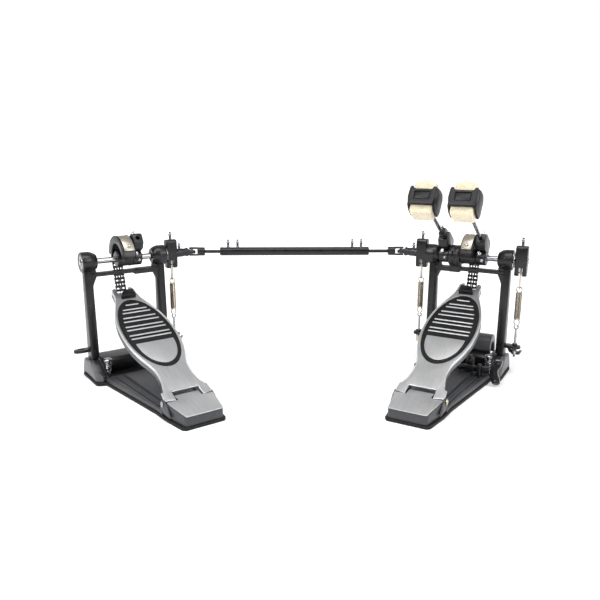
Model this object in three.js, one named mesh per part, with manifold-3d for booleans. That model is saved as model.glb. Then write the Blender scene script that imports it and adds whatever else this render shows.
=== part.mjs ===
// Twin bass drum pedal: a main pedal with two beaters and a remote left pedal,
// joined by a telescoping drive shaft with a universal joint at each end.
// Millimetres, +Z up, drive shaft along X. Origin: bottom centre of the bounding box.
import * as THREE from 'three';
import * as BufferGeometryUtils from 'three/addons/utils/BufferGeometryUtils.js';
import Module from 'manifold-3d';

const wasm = await Module();
wasm.setup();

// ---------------------------------------------------------------- driving dimensions
const ORIGIN = [-1.6273, -92.7914, 0];                     // row origin in the layout frame
const LEFT = { x: -310.57, y: -3.37, yaw: 34.593 };   // pedal origins on the floor, midway between the posts
const RIGHT = { x: 301.02, y: 3.53, yaw: -30.989 };
const AXLE_Z = 205;          // axle height above the floor
const AXLE_R = 5;            // axle radius
const BORE_R = 5.35;         // clearance bore on the axle
const POST_X = 66;           // post centre, each side
const HUB_OUT = 75;          // outer face of the bearing hubs
const HUB_R = 17.7;
const BRACE_Z = 182.2;
const HINGE_Y = -247, HINGE_Z = 28.9;   // front edge of the heel plate, top surface
const SLOPE = 23.883;        // footboard slope at rest, degrees
const PIN_Y = -237, PIN_Z = 23.4;       // heel hinge pin
const LEAN = 57.85;          // beater rod lean back from vertical, degrees
const ROD_S = 21.5;          // beater rod distance from the axle
const CHAIN_R = 37.3;        // chain centre line radius on the cam
const LEVER_X = 88.5;        // spring lever centre
const SCREW_Y = -72.5, SCREW_Z = 24.8;   // hoop clamp screw axis
const UJ_X = 130.51;         // universal joint centre from the pedal centre
const WING_TURN = 62;      // wing nut prongs, turned about the eyebolt
const EYE_Z = 88;            // top of the eyebolt
const LUG_Z = 51.5;          // spring lug centre height

// ---------------------------------------------------------------- solids
const D2R = Math.PI / 180;
function solid(geom) {
  let g = geom.index ? geom.toNonIndexed() : geom;
  g = g.clone(); g.deleteAttribute('normal'); if (g.attributes.uv) g.deleteAttribute('uv');
  g = BufferGeometryUtils.mergeVertices(g, 1e-4);
  const m = new wasm.Mesh({ numProp: 3, vertProperties: new Float32Array(g.attributes.position.array), triVerts: new Uint32Array(g.index.array) });
  return new wasm.Manifold(m);
}
function toGeometry(man) {
  const m = man.getMesh();
  const pos = new Float32Array(m.numVert * 3);
  for (let i = 0; i < m.numVert; i++) for (let k = 0; k < 3; k++) pos[3 * i + k] = m.vertProperties[i * m.numProp + k];
  const g = new THREE.BufferGeometry();
  g.setAttribute('position', new THREE.BufferAttribute(pos, 3));
  g.setIndex(new THREE.BufferAttribute(new Uint32Array(m.triVerts), 1));
  g.computeVertexNormals();
  return g;
}
const add = (...s) => s.slice(1).reduce((a, b) => a.add(b), s[0]);
const cut = (a, ...s) => s.reduce((p, q) => p.subtract(q), a);
const box = (x0, x1, y0, y1, z0, z1) => solid(new THREE.BoxGeometry(x1 - x0, y1 - y0, z1 - z0).translate((x0 + x1) / 2, (y0 + y1) / 2, (z0 + z1) / 2));
// closed shape given as [a,b] points, extruded along X with a = y and b = z
function prismX(pts, x0, x1) {
  const s = new THREE.Shape(pts.map(p => new THREE.Vector2(p[0], p[1])));
  const g = new THREE.ExtrudeGeometry(s, { depth: x1 - x0, bevelEnabled: false, curveSegments: 12 });
  const m = new THREE.Matrix4().makeBasis(new THREE.Vector3(0, 1, 0), new THREE.Vector3(0, 0, 1), new THREE.Vector3(1, 0, 0));
  m.setPosition(x0, 0, 0);
  return solid(g.applyMatrix4(m));
}
function prismZ(pts, z0, z1, holes = []) {
  const s = new THREE.Shape(pts.map(p => new THREE.Vector2(p[0], p[1])));
  for (const h of holes) s.holes.push(new THREE.Path(h.map(p => new THREE.Vector2(p[0], p[1]))));
  return solid(new THREE.ExtrudeGeometry(s, { depth: z1 - z0, bevelEnabled: false }).translate(0, 0, z0));
}
// profile [[x, r], ...] turned about the X axis through (y, z)
function latheX(prof, y, z, seg = 16) {
  const g = new THREE.LatheGeometry(prof.map(p => new THREE.Vector2(p[1], p[0])), seg);
  const m = new THREE.Matrix4().makeBasis(new THREE.Vector3(0, 0, 1), new THREE.Vector3(1, 0, 0), new THREE.Vector3(0, 1, 0));
  m.setPosition(0, y, z);
  return solid(g.applyMatrix4(m));
}
const rodX = (xa, xb, r, y, z, seg = 16) => { const x0 = Math.min(xa, xb), x1 = Math.max(xa, xb); return latheX([[x0, 0], [x0, r], [x1, r], [x1, 0]], y, z, seg); };
function latheZ(prof, x, y, seg = 16) {          // profile [[z, r], ...]
  return solid(new THREE.LatheGeometry(prof.map(p => new THREE.Vector2(p[1], p[0])), seg).rotateX(Math.PI / 2).translate(x, y, 0));
}
const rodZ = (z0, z1, r, x, y, seg = 12) => latheZ([[z0, 0], [z0, r], [z1, r], [z1, 0]], x, y, seg);
const torus = (R, r, x, y, z, ry = 0, a = 8, b = 5) => solid(new THREE.TorusGeometry(R, r, b, a).rotateX(Math.PI / 2).rotateZ(ry).translate(x, y, z));
const turn = (man, ax, ay, az) => man.rotate(ax, ay, az);
const arc = (r, a0, a1, n) => Array.from({ length: n + 1 }, (_, i) => { const a = (a0 + (a1 - a0) * i / n) * D2R; return [r * Math.cos(a), AXLE_Z + r * Math.sin(a)]; });
const sector = (r0, r1, a0, a1, n) => [...arc(r1, a0, a1, n), ...arc(r0, a1, a0, n)];
const flip = s => s.mirror([1, 0, 0]);
// footboard frame (x, s along the slope, n up from the top face) to pedal frame
const boardAt = slope => m => m.rotate(slope, 0, 0).translate(0, HINGE_Y, HINGE_Z);
// beater frame (x, s strike direction, u along the rod) to pedal frame
const onRod = (m, x) => m.rotate(LEAN, 0, 0).translate(x, 0, AXLE_Z);

// ---------------------------------------------------------------- materials
const mat = (c, r, m) => new THREE.MeshStandardMaterial({ color: c, roughness: r, metalness: m });
const M = {
  alu: mat(0xc6c8ca, 0.35, 0.9), black: mat(0x17171a, 0.45, 0.2), grey: mat(0x55565a, 0.55, 0.2), chrome: mat(0xd8d8da, 0.15, 1),
  rubber: mat(0x111111, 0.85, 0), plate: mat(0xb8ab94, 0.3, 0.9), felt: mat(0xe6d9b4, 0.95, 0), plastic: mat(0x1a1a1c, 0.4, 0),
  steel: mat(0xb4aea2, 0.3, 1), chain: mat(0x1c1c1e, 0.35, 0.8), gloss: mat(0x0c0c0d, 0.15, 0.1),
};

// ---------------------------------------------------------------- footboard outline (half widths along the slope)
const HALF = [[0, 38], [12, 37.9], [18, 36.4], [25, 33.2], [38, 29.6], [54, 27], [68, 27.4], [82, 30.4], [97, 35.8], [112, 40.3], [128, 43.7], [146, 45.6], [165, 46],
  [183, 45], [200, 42.3], [218, 38], [235, 32.4], [250, 26.6], [262, 22.4], [274, 20.4], [286, 20], [291.5, 18.5], [294.5, 15.5]];
const ovalC = 165.4, ovalA = 91, ovalB = 42;
const oval = (k, n = 32) => Array.from({ length: n }, (_, i) => {
  const t = 2 * Math.PI * i / n, s = Math.sin(t), c = Math.cos(t);
  const w = ovalB * (1 - 0.03 * s);                         // a little wider towards the heel
  return [(w + k) * c, ovalC + (ovalA + k) * s];
});
const RIBS = [241.7, 228.6, 219.9, 206.4, 196.3, 182.6, 173.5, 159.6, 150.6];
const ovalHalf = s => { const q = (s - ovalC) / 90.4; return 40 * (1 - 0.10 * q) * Math.sqrt(Math.max(0, 1 - q * q)); };   // line the rib ends follow

// ---------------------------------------------------------------- one pedal in its own frame
function pedal(side) {
  const main = side === 'right';
  const N = {};
  const mir = s => add(s, flip(s));
  const slope = main ? SLOPE + 0.8 : SLOPE, onBoard = boardAt(slope);
  const Z = AXLE_Z;
  // base casting: plate, heel block, toe feet and cross box
  const half = [[62, -44], [62, -56], [41, -217], [41.5, -226]];
  let plate = prismZ([[-62, -44], [-62, -56], [-41, -217], [-41, -240], [41, -240], [41, -217], [62, -56], [62, -44]], 5, 12);
  plate = add(plate, prismZ([[-34, -60], [-27, -214], [27, -214], [34, -60]], 11, 17));
  for (const k of [1, -1]) plate = add(plate, prismZ(k > 0 ? [[44, -60], [33, -214], [36, -214], [47, -60]] : [[-47, -60], [-36, -214], [-33, -214], [-44, -60]], 11, 14));
  const heelTop = y => HINGE_Z + (y - HINGE_Y) * (HINGE_Z - 21.4) / 48.7;
  let heel = prismX([[-293.5, 5], [-228, 5], [-228, 12], [-231, 17.2], [-247.3, 17.2], [-247.3, heelTop(-247.3) - 3.3], [-293.5, heelTop(-293.5) - 3.3]], -40, 40);
  const plan = prismZ([[-38.6, -228], [38.6, -228], [38.2, -247], [30.4, -294], [-30.4, -294], [-38.2, -247]], 0, 60);
  heel = heel.intersect(plan);
  heel = add(heel, mir(prismX([[-262, 10], [-226, 10], [-228, 24], [-232, 28.2], [-242, 29.2], [-250, 25]], 38.3, 40.4)));
  // centre hinge knuckle
  const kn = prismX(Array.from({ length: 20 }, (_, i) => [PIN_Y + 5.2 * Math.cos(i * Math.PI / 10), PIN_Z + 5.2 * Math.sin(i * Math.PI / 10)]), -21.2, 21.2);
  heel = cut(add(heel, kn, box(-21.2, 21.2, -252, -238, 14, 24.6)), box(-22, 22, -250, -238.3, 25.2, 40));
  const foot = prismX([[-49, 5], [27, 5], [27, 15], [16, 33.4], [-13, 33.4], [-22, 29], [-34, 19.5], [-49, 14]], 54.6, 77.4);
  const boxTop = main ? 34 : 41;
  let cross = prismX([[-27, 5], [24, 5], [24, boxTop - 3], [21, boxTop], [-19, boxTop], [-23, boxTop - 3]], -56, 56);
  cross = add(cross, box(-58, 58, -46, -24, 5, 12));
  let base = add(plate, heel, mir(foot), cross);
  base = cut(base, rodX(-45, 45, 2.9, PIN_Y, PIN_Z, 12), mir(rodZ(0, 40, 4.3, 52.5, -34, 12)));
  const spurBoss = mir(cut(rodZ(5, 20, 8, 52.5, -34, 16), rodZ(0, 40, 4.3, 52.5, -34, 12)));
  base = add(base, spurBoss);
  if (main) {                                                     // hoop clamp bed, jaw bearers and screw bearing
    base = cut(base, box(-50, 50, -8, 30, 20, 60));
    base = add(base, box(-48, 48, -8, 44, 8, 13));
    base = add(base, cut(prismX([[-81, 10], [-64, 10], [-64, 30], [-68, 34], [-77, 34], [-81, 30]], 44, 50), rodX(40, 60, 4.4, SCREW_Y, SCREW_Z, 12)));
    base = cut(base, mir(rodX(48, 60, 2.6, 8, 27, 12)));
  }
  N.base = [base, M.grey];

  // posts, hubs, brace, spring lugs: one black casting
  const gap = 0.3;
  const seat = 33.4 + gap;
  let posts = mir(prismX([[-7, Z - 4], [7, Z - 4], [12, seat], [-10.5, seat]], POST_X - 6, POST_X + 6));
  const hubL = main ? [[-77, 0], [-77, HUB_R - 0.9], [-76, HUB_R], [-63, HUB_R], [-57.5, 15.6], [-55, 12.4], [-55, 0]] : [[-HUB_OUT, 0], [-HUB_OUT, HUB_R - 0.9], [-74, HUB_R], [-60, HUB_R], [-53, 15.6], [-50, 12.4], [-50, 0]];
  const hubR = [[50, 0], [50, 12.4], [53, 15.6], [60, HUB_R], [74, HUB_R], [HUB_OUT, HUB_R - 0.9], [HUB_OUT, 0]];
  posts = add(posts, latheX(hubL, 0, Z, 20), latheX(hubR, 0, Z, 20));
  posts = add(posts, box(-61, 61, -6, 6, BRACE_Z - 3.6, BRACE_Z + 3.6));
  posts = add(posts, mir(prismX([[-4, BRACE_Z - 22], [4, BRACE_Z - 22], [5, BRACE_Z + 8], [-5, BRACE_Z + 8]], 52, 61).intersect(prismZ([[40, -20], [70, -20], [70, 20], [40, 20]], 100, 250))));
  // trim the gusset to a slope
  posts = cut(posts, mir(solid(new THREE.BoxGeometry(12, 30, 34).rotateY(28 * D2R).translate(47.2, 0, BRACE_Z - 22))));
  if (main) {
    posts = add(posts, latheX([[-35.2, 0], [-35.2, 17.5], [-33.5, 19.2], [-17, 19.2], [-15.2, 17.5], [-15.2, 0]], 0, Z, 20), box(-35, -15.5, -7.5, 7.5, BRACE_Z - 6.4, BRACE_Z + 10));
  } else posts = add(posts, box(16, 61, -6.6, 6.6, BRACE_Z - 6, BRACE_Z + 3.6));
  const lug = prismZ([[70, -7], [86, -8], [96, -6], [99, 0], [96, 6], [86, 8], [70, 7]], LUG_Z - 2.5, LUG_Z + 2.5);
  posts = add(posts, mir(lug));
  posts = cut(posts, rodX(-80, 80, BORE_R + 0.35, 0, Z, 12), mir(rodZ(LUG_Z - 5, LUG_Z + 5, 2.6, LEVER_X, 0, 12)));
  posts = cut(posts, rodX(70, 80, 11.2, 0, Z, 16), rodX(-80, main ? -72 : -70, 11.2, 0, Z, 16));
  N.posts = [posts, M.black];
  const ring = x0 => cut(rodX(x0, x0 + 4.4, 10.8, 0, Z, 16), rodX(x0 - 1, x0 + 6, BORE_R + 0.1, 0, Z, 12));
  N.bearing = [main ? ring(70.4) : ring(-74.8), M.chrome];

  // rubber sole
  const sole = prismZ([[-79, -50], [-79, 28.5], [79, 28.5], [79, -50], [64, -56], [43.2, -216], [41.8, -246], [35.4, -291], [31, -296], [-31, -296], [-35.4, -291], [-41.8, -246], [-43.2, -216], [-64, -56]], 0, 4.7);
  N.sole = [cut(sole, mir(rodZ(-1, 8, 4.3, 52.5, -34, 12))), M.rubber];

  // heel plate with its tongue
  const hp = [[-37.6, 0], [-37.6, -2], [-29.4, -48.7], [29.4, -48.7], [37.6, -2], [37.6, -0.4], [19.4, -0.4], [19.4, 8], [-19.4, 8], [-19.4, -0.4], [-37.6, -0.4]].slice(1);
  const tilt = Math.atan2(HINGE_Z - 21.4, 48.7) / D2R;
  N.heel_plate = [prismZ(hp.map(p => [p[0], p[1]]), -3, 0).rotate(tilt, 0, 0).translate(0, HINGE_Y, HINGE_Z), M.alu];

  // heel hinge pin
  N.hinge_pin = [latheX([[-42.8, 0], [-42.8, 3], [-41.8, 4.3], [-40.8, 4.3], [-40.8, 2.5], [40.8, 2.5], [40.8, 4.3], [41.8, 4.3], [42.8, 3], [42.8, 0]], PIN_Y, PIN_Z, 12), M.steel];

  // footboard in (x, s, n)
  const out = [...HALF.map(p => [p[1], p[0]]), ...HALF.slice().reverse().map(p => [-p[1], p[0]])];
  const inner = [...HALF.filter(p => p[0] >= 25 && p[0] <= 262).map(p => [p[1] - 4, p[0]]), ...HALF.filter(p => p[0] >= 25 && p[0] <= 262).reverse().map(p => [-p[1] + 4, p[0]])];
  let fb = prismZ(out, -13, 0);
  fb = cut(fb, prismZ(inner, -15, -4));
  fb = cut(fb, prismZ([[-22, -2], [22, -2], [22, 18.7], [-22, 18.7]], -20, 4));        // hinge notch
  fb = cut(fb, prismZ([[-40, -2], [40, -2], [40, 24], [-40, 24]], -20, -3.6));
  fb = cut(fb, prismZ([[-11.6, 277], [11.6, 277], [11.6, 302], [-11.6, 302]], -20, 4));  // chain slot
  fb = cut(fb, prismZ(oval(0.25), -1.6, 4));                                              // inlay recess
  // hinge knuckles on both sides of the notch
  const ps = (PIN_Y - HINGE_Y) * Math.cos(slope * D2R) + (PIN_Z - HINGE_Z) * Math.sin(slope * D2R);
  const pn = -(PIN_Y - HINGE_Y) * Math.sin(slope * D2R) + (PIN_Z - HINGE_Z) * Math.cos(slope * D2R);
  const kc = Array.from({ length: 20 }, (_, i) => [ps + 5 * Math.cos(i * Math.PI / 10), pn + 5 * Math.sin(i * Math.PI / 10)]);
  const knuckle = add(prismX(kc, 23, 37.6), prismX([[ps - 2.5, pn], [ps + 14, -3.8], [ps + 14, -0.6], [ps - 4, -0.6]], 23, 37.6));
  fb = add(fb, mir(knuckle));
  fb = cut(fb, rodX(-45, 45, 2.9, ps, pn, 12));
  // ribs and heel-end field standing in the inlay
  for (const s of RIBS) { const w = Math.max(4, ovalHalf(s) - (s > 240 ? 8 : 5.2)); fb = add(fb, box(-w, w, s - 1.5, s + 1.5, -1.9, 1.2)); }
  const field = (k) => { const p = []; const n = 16; for (let i = 0; i <= n; i++) { const t = Math.PI + Math.PI * i / n; p.push([(32.4 + k) * Math.cos(t), 138.5 + (55.5 + k) * Math.sin(t)]); } p[0][1] += k; p[n][1] += k; return p; };
  fb = add(fb, prismZ(field(0), -1.9, 0.3));
  fb = add(fb, box(-12, 12, 285, 288.6, -9.4, -6));                                        // chain pin
  N.footboard = [onBoard(fb), M.alu];
  let pad = prismZ(oval(-0.15), -1.3, 0.5);
  for (const s of RIBS) { const w = Math.max(4, ovalHalf(s) - (s > 240 ? 8 : 5.2)) + 0.3; pad = cut(pad, box(-w, w, s - 1.8, s + 1.8, -4, 4)); }
  pad = cut(pad, prismZ(field(0.3), -4, 4));
  N.pad = [onBoard(pad), M.rubber];
  // chain anchor block on the toe
  const tp = [[-12, 261], [14.5, 261], [14.5, 279], [-1, 279], [-9, 270]];
  let tb = prismZ(main ? tp.map(p => [-p[0], p[1]]) : tp, 0.3, 8.2);
  N.toe_block = [onBoard(tb), M.plastic];

  // axle
  N.axle = [main ? rodX(-33, 100.5, AXLE_R, 0, Z, 12) : rodX(-76.5, 119, AXLE_R, 0, Z, 12), M.chrome];
  // drive cam
  let cam = latheX([[-14, BORE_R], [-14, 12.6], [-13, 13.6], [11, 13.6], [12, 12.6], [12, BORE_R], [-14, BORE_R]], 0, Z, 16);
  const rim = add(prismX(sector(29.5, 33.4, 6, 178, 16), -11, 11), ...[prismX(sector(26.5, 39.7, 6, 178, 16), 9.6, 11), prismX(sector(26.5, 39.7, 6, 178, 16), -11, -9.6), prismX(sector(27, 39.2, 104, 168, 6), -10, 10)].map(m => m.translate(0, 5.5, 0)));
  cam = add(cam, rim, prismX([...arc(30.6, 14, 172, 10), [-12, Z + 2], [12, Z + 2]], 5.4, 10.9));
  N.drive_cam = [cut(cam, rodX(-20, 20, BORE_R, 0, Z, 12)), M.black];
  N.cam_plate = [prismX(sector(39.9, 42, 112, 163, 8), -9, 9).translate(0, 5.5, 0), M.plate];
  // chain: wrapped stretch and free stretch
  N.chain_wrap = [prismX(sector(34, 41, 2, 92, 10), -9.2, 9.2), M.chain];
  const lowY = main ? 22.7 : 24.5, lowZ = main ? 148 : 144.3, dy = CHAIN_R - lowY, dz = Z - 1.5 - lowZ, L = Math.hypot(dy, dz), ux = dy / L, uz = dz / L;
  N.chain_run = [prismX([[lowY - 3.5 * uz, lowZ + 3.5 * ux], [lowY + 3.5 * uz, lowZ - 3.5 * ux], [CHAIN_R + 3.5 * uz, Z - 1.5 - 3.5 * ux], [CHAIN_R - 3.5 * uz, Z - 1.5 + 3.5 * ux - 0.6]], -9.2, 9.2), M.chain];
  // beater clamp
  const clamp = (x0, x1, xr) => {
    let c = latheX([[x0, BORE_R], [x0, 12.4], [x0 + 1, 13.4], [x1 - 1, 13.4], [x1, 12.4], [x1, BORE_R], [x0, BORE_R]], 0, Z, 16);
    const b = onRod(prismX([[6, -6], [30, -6], [33, 1], [33, 26], [29, 32], [12, 32], [5, 24]], x0, x1), 0);
    c = add(c, b);
    return cut(c, rodX(x0 - 1, x1 + 1, BORE_R, 0, Z, 12), onRod(solid(new THREE.CylinderGeometry(3.55, 3.55, 90, 10).rotateX(Math.PI / 2).translate(0, ROD_S, 10)), xr));
  };
  N.clamp = [clamp(12.4, 29.6, 20.5), M.black];
  // spring lever, fork downwards, with its toothed ring
  const lever = (k) => {
    const x0 = LEVER_X - 10, x1 = LEVER_X + 10;
    let b = prismX([[-7, Z - 24], [-5, Z - 26.2], [5, Z - 26.2], [7, Z - 24], [7.8, Z], [7, Z + 23], [5, Z + 26], [-5, Z + 26], [-7, Z + 23], [-7.8, Z]], x0, x1);
    b = add(b, rodX(x0 - 1.1, x0 + 1, 12, 0, Z, 16));
    b = cut(b, rodX(x0 - 5, x1 + 5, BORE_R, 0, Z, 12), box(LEVER_X - 3.4, LEVER_X + 3.4, -12, 12, Z - 40, Z - 11));
    return k < 0 ? flip(b) : b;
  };
  N.spring_cam = [lever(1), M.black];
  // extension spring with its hook link, and its eyebolt
  const spring = (k) => {
    const x = k * LEVER_X;
    let s = rodZ(101, 150, 5.4, x, 0, 12);
    s = add(s, torus(3.9, 1.1, x, 0, 154.6), torus(3.9, 1.1, x, 0, 96.4), rodZ(158, 193, 1.3, x, 0, 8), torus(3, 1.2, x, 0, 160.6, Math.PI / 2));
    return s;
  };
  const eyebolt = (k, wing) => {
    const x = k * LEVER_X;
    let e = add(rodZ(33, EYE_Z - 3, 2, x, 0, 10), torus(3, 1.1, x, 0, EYE_Z - 1.2), rodZ(LUG_Z + 2.8, LUG_Z + 6.4, 4.4, x, 0, 6));
    if (wing) {
      e = add(e, rodZ(38, LUG_Z - 2.8, 4.6, x, 0, 14));
      const prongs = add(prismX([[3, 38], [14, 44.4], [12.6, 48], [9, 47.4], [2, 44]], -1.4, 1.4), prismX([[-3, 38], [-14, 44.4], [-12.6, 48], [-9, 47.4], [-2, 44]], -1.4, 1.4));
      e = add(e, prongs.rotate(0, 0, WING_TURN).translate(x, 0, 0));
    } else e = add(e, rodZ(35, LUG_Z - 2.8, 4.9, x, 0, 14));
    return e;
  };
  N.spring = [spring(1), M.steel];
  N.eyebolt = [eyebolt(1, true), M.chrome];
  // carpet spurs
  for (const k of [-1, 1]) {
    N[k < 0 ? 'spur_l' : 'spur_r'] = [latheZ([[2.2, 0], [8, 3.6], [31, 3.6], [31, 5], [33, 6.6], [37.5, 6.6], [40, 5], [41, 0]], k * 52.5, -34, 14), M.chrome];
  }
  // universal joint, pedal side: collar, stub and front/back ears
  const yoke = () => {
    const c = UJ_X;
    let y = add(rodX(99.6, c - 10, 7.7, 0, Z, 12), rodX(c - 12, c + 4.4, 8.2, 0, Z, 12));
    y = cut(y, box(c - 9.5, c + 12, -5.2, 5.2, Z - 20, Z + 20));
    y = cut(y, box(c - 8.5, c + 12, -20, 20, Z + 3.1, Z + 20), box(c - 8.5, c + 12, -20, 20, Z - 20, Z - 3.1));
    return y;
  };
  if (main) {
    let st = flip(yoke());
    st = add(st, rodX(-104, -36.4, AXLE_R, 0, Z, 12));
    N.yoke = [st, M.black];
    N.slave_clamp = [clamp(-53.4, -36.2, -44.8), M.black];
    N.slave_lever = [lever(-1), M.black];
    N.slave_spring = [spring(-1), M.steel];
    N.slave_eyebolt = [eyebolt(-1, false), M.chrome];
    const rodS = onRod(solid(new THREE.CylinderGeometry(3.15, 3.15, 190, 12).rotateX(Math.PI / 2).translate(0, ROD_S, 75)), 0);
    const core = () => {
      // end cap with a shallow window, two cheeks
      let c = prismZ([[-19.6, ROD_S - 14.8], [19.6, ROD_S - 14.8], [21.6, ROD_S - 2], [21.3, ROD_S + 14.8], [-21.3, ROD_S + 14.8], [-21.6, ROD_S - 2]], 178.2, 184);
      c = cut(c, box(-13, 13, ROD_S - 7, ROD_S + 7, 182.4, 190));
      const cheek = prismX([[ROD_S - 22, 150], [ROD_S - 12, 145], [ROD_S + 12, 145], [ROD_S + 20, 152], [ROD_S + 18, 168], [ROD_S + 14.8, 180], [ROD_S - 14.8, 180], [ROD_S - 19, 168]], 18.4, 22);
      c = add(c, cheek, flip(cheek), box(-19.5, 19.5, ROD_S - 6, ROD_S + 6, 143.4, 147.2), box(-6, 6, ROD_S - 6, ROD_S + 6, 138, 147));
      return cut(c, solid(new THREE.CylinderGeometry(3.5, 3.5, 38, 12).rotateX(Math.PI / 2).translate(0, ROD_S, 154)));
    };
    const felt = () => {
      // round striking face on the drum side, flat on the other
      const p = []; const R = 29;
      for (let i = 0; i <= 14; i++) { const a = (-1 + 2 * i / 14) * 38 * D2R; p.push([Math.sin(a) * R * 1.02 * 17.9 / 18.2, ROD_S + Math.cos(a) * R]); }
      p.push([18, ROD_S - 24], [16, ROD_S - 28], [-16, ROD_S - 28], [-18, ROD_S - 24]);
      const f = prismZ(p.reverse(), 148, 177.8);
      return cut(f, solid(new THREE.CylinderGeometry(3.6, 3.6, 40, 12).rotateX(Math.PI / 2).translate(0, ROD_S, 163)));
    };
    for (const [n, x] of [['master', 20.5], ['slave', -44.8]]) {
      N[n + '_rod'] = [rodS.translate(x, 0, 0), M.chrome];
      N[n + '_core'] = [onRod(core(), x), M.plastic];
      N[n + '_felt'] = [onRod(felt(), x), M.felt];
    }
    // hoop clamp jaw: rounded hood rocking on a cross pin
    let jaw = prismX([[-4, 38], [-2, 48], [3, 56], [11, 61], [20, 62.5], [30, 60], [38, 53], [42.5, 44], [44, 33], [44, 24], [39, 24], [37, 36], [31, 45], [22, 50], [12, 47], [8, 38], [12, 27], [8, 22.5], [3, 25]], -46, 46);
    jaw = add(jaw, rodX(-49.6, 49.6, 2.2, 8, 27, 12));
    N.hoop_jaw = [jaw, M.grey];
    // clamp screw with its two-lobed wing
    let ws = add(rodX(12, 62, 4, SCREW_Y, SCREW_Z, 12), rodX(54, 64, 6.4, SCREW_Y, SCREW_Z, 14));
    const lobe = [[60, 0], [60, 6], [65, 8], [68.5, 15], [71, 21], [76, 22.3], [82, 21.5], [84, 18], [82, 9], [79, 4], [78, 0]];
    const wing = prismZ([...lobe, ...lobe.slice(1, -1).reverse().map(p => [p[0], -p[1]])], -3, 3).rotate(76, 0, 0).translate(0, SCREW_Y, SCREW_Z);
    ws = add(ws, wing);
    N.wing_screw = [ws, M.gloss];
  } else {
    N.yoke = [cut(yoke(), rodX(90, 119.4, BORE_R, 0, Z, 20)), M.black];
  }
  return N;
}

// ---------------------------------------------------------------- drive shaft, in the layout frame
function shaftParts() {
  const N = {};
  const at = (P, x) => { const a = P.yaw * D2R; return [P.x + Math.cos(a) * x, P.y + Math.sin(a) * x]; };
  const [xa, ya] = at(LEFT, UJ_X), [xb] = at(RIGHT, -UJ_X);
  const y = ya, z = AXLE_Z;
  const tube0 = xa + 53.3, tube1 = xb - 61;
  N.shaft_tube = [latheX([[tube0, 3.75], [tube0, 7.8], [tube1, 7.8], [tube1, 3.75], [tube0, 3.75]], y, z, 16), M.black, 0];
  const fork = (c, k, inner) => {
    let f = add(rodX(c + k * -4.6, c + k * 24.5, 8.2, y, z, 12), rodX(c + k * 20, inner, 3.3, y, z, 6));
    const lo = Math.min(c - k * 12, c + k * 11.6), hi = Math.max(c - k * 12, c + k * 11.6);
    f = cut(f, box(lo, hi, y - 20, y + 20, z - 4.9, z + 4.9));
    const lo2 = Math.min(c - k * 12, c + k * 10.4), hi2 = Math.max(c - k * 12, c + k * 10.4);
    f = cut(f, box(lo2, hi2, y + 3.1, y + 20, z - 20, z + 20), box(lo2, hi2, y - 20, y - 3.1, z - 20, z + 20), rodZ(z - 10, z + 10, 2.35, c, y, 8));
    return f;
  };
  const cross = (c, yaw) => add(solid(new THREE.SphereGeometry(3.9, 8, 6).translate(c, y, z)), rodZ(z - 7, z + 7, 1.9, c, y, 8),
    solid(new THREE.CylinderGeometry(2, 2, 9.4, 8).rotateZ(yaw * D2R).translate(c, y, z)));
  const ordered = (c, k, inner) => fork(c, k, inner);
  N.fork_left = [ordered(xa, 1, tube0 + 95), M.black, 0];
  N.fork_right = [ordered(xb, -1, tube1 - 80), M.black, 0];
  N.cross_left = [cross(xa, LEFT.yaw), M.chrome, 0];
  N.cross_right = [cross(xb, RIGHT.yaw), M.chrome, 0];
  return N;
}

// ---------------------------------------------------------------- scene graph
const group = new THREE.Group();
function place(parts, prefix, parent) {
  for (const [n, [man, material]] of Object.entries(parts)) {
    const mesh = new THREE.Mesh(toGeometry(man), material.clone());
    mesh.name = prefix + n;
    parent.add(mesh);
  }
}
const gl = new THREE.Group(); gl.position.set(LEFT.x, LEFT.y, 0); gl.rotation.z = LEFT.yaw * D2R;
const gr = new THREE.Group(); gr.position.set(RIGHT.x, RIGHT.y, 0); gr.rotation.z = RIGHT.yaw * D2R;
const gs = new THREE.Group();
place(pedal('left'), 'left_', gl);
place(pedal('right'), 'right_', gr);
place(shaftParts(), '', gs);
const rename = { right_master_rod: 'master_beater_rod', right_master_core: 'master_beater_core', right_master_felt: 'master_beater_felt', right_slave_rod: 'slave_beater_rod',
  right_slave_core: 'slave_beater_core', right_slave_felt: 'slave_beater_felt', right_slave_clamp: 'slave_clamp', right_slave_lever: 'slave_spring_cam',
  right_slave_spring: 'slave_spring', right_slave_eyebolt: 'slave_eyebolt', right_hoop_jaw: 'hoop_jaw', right_wing_screw: 'hoop_clamp_screw' };
gr.traverse(o => { if (rename[o.name]) o.name = rename[o.name]; });
group.add(gl, gr, gs);
group.position.set(-ORIGIN[0], -ORIGIN[1], -ORIGIN[2]);
export default group;
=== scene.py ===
import bpy, bmesh, math, random
from mathutils import Matrix, Vector, noise


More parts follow.
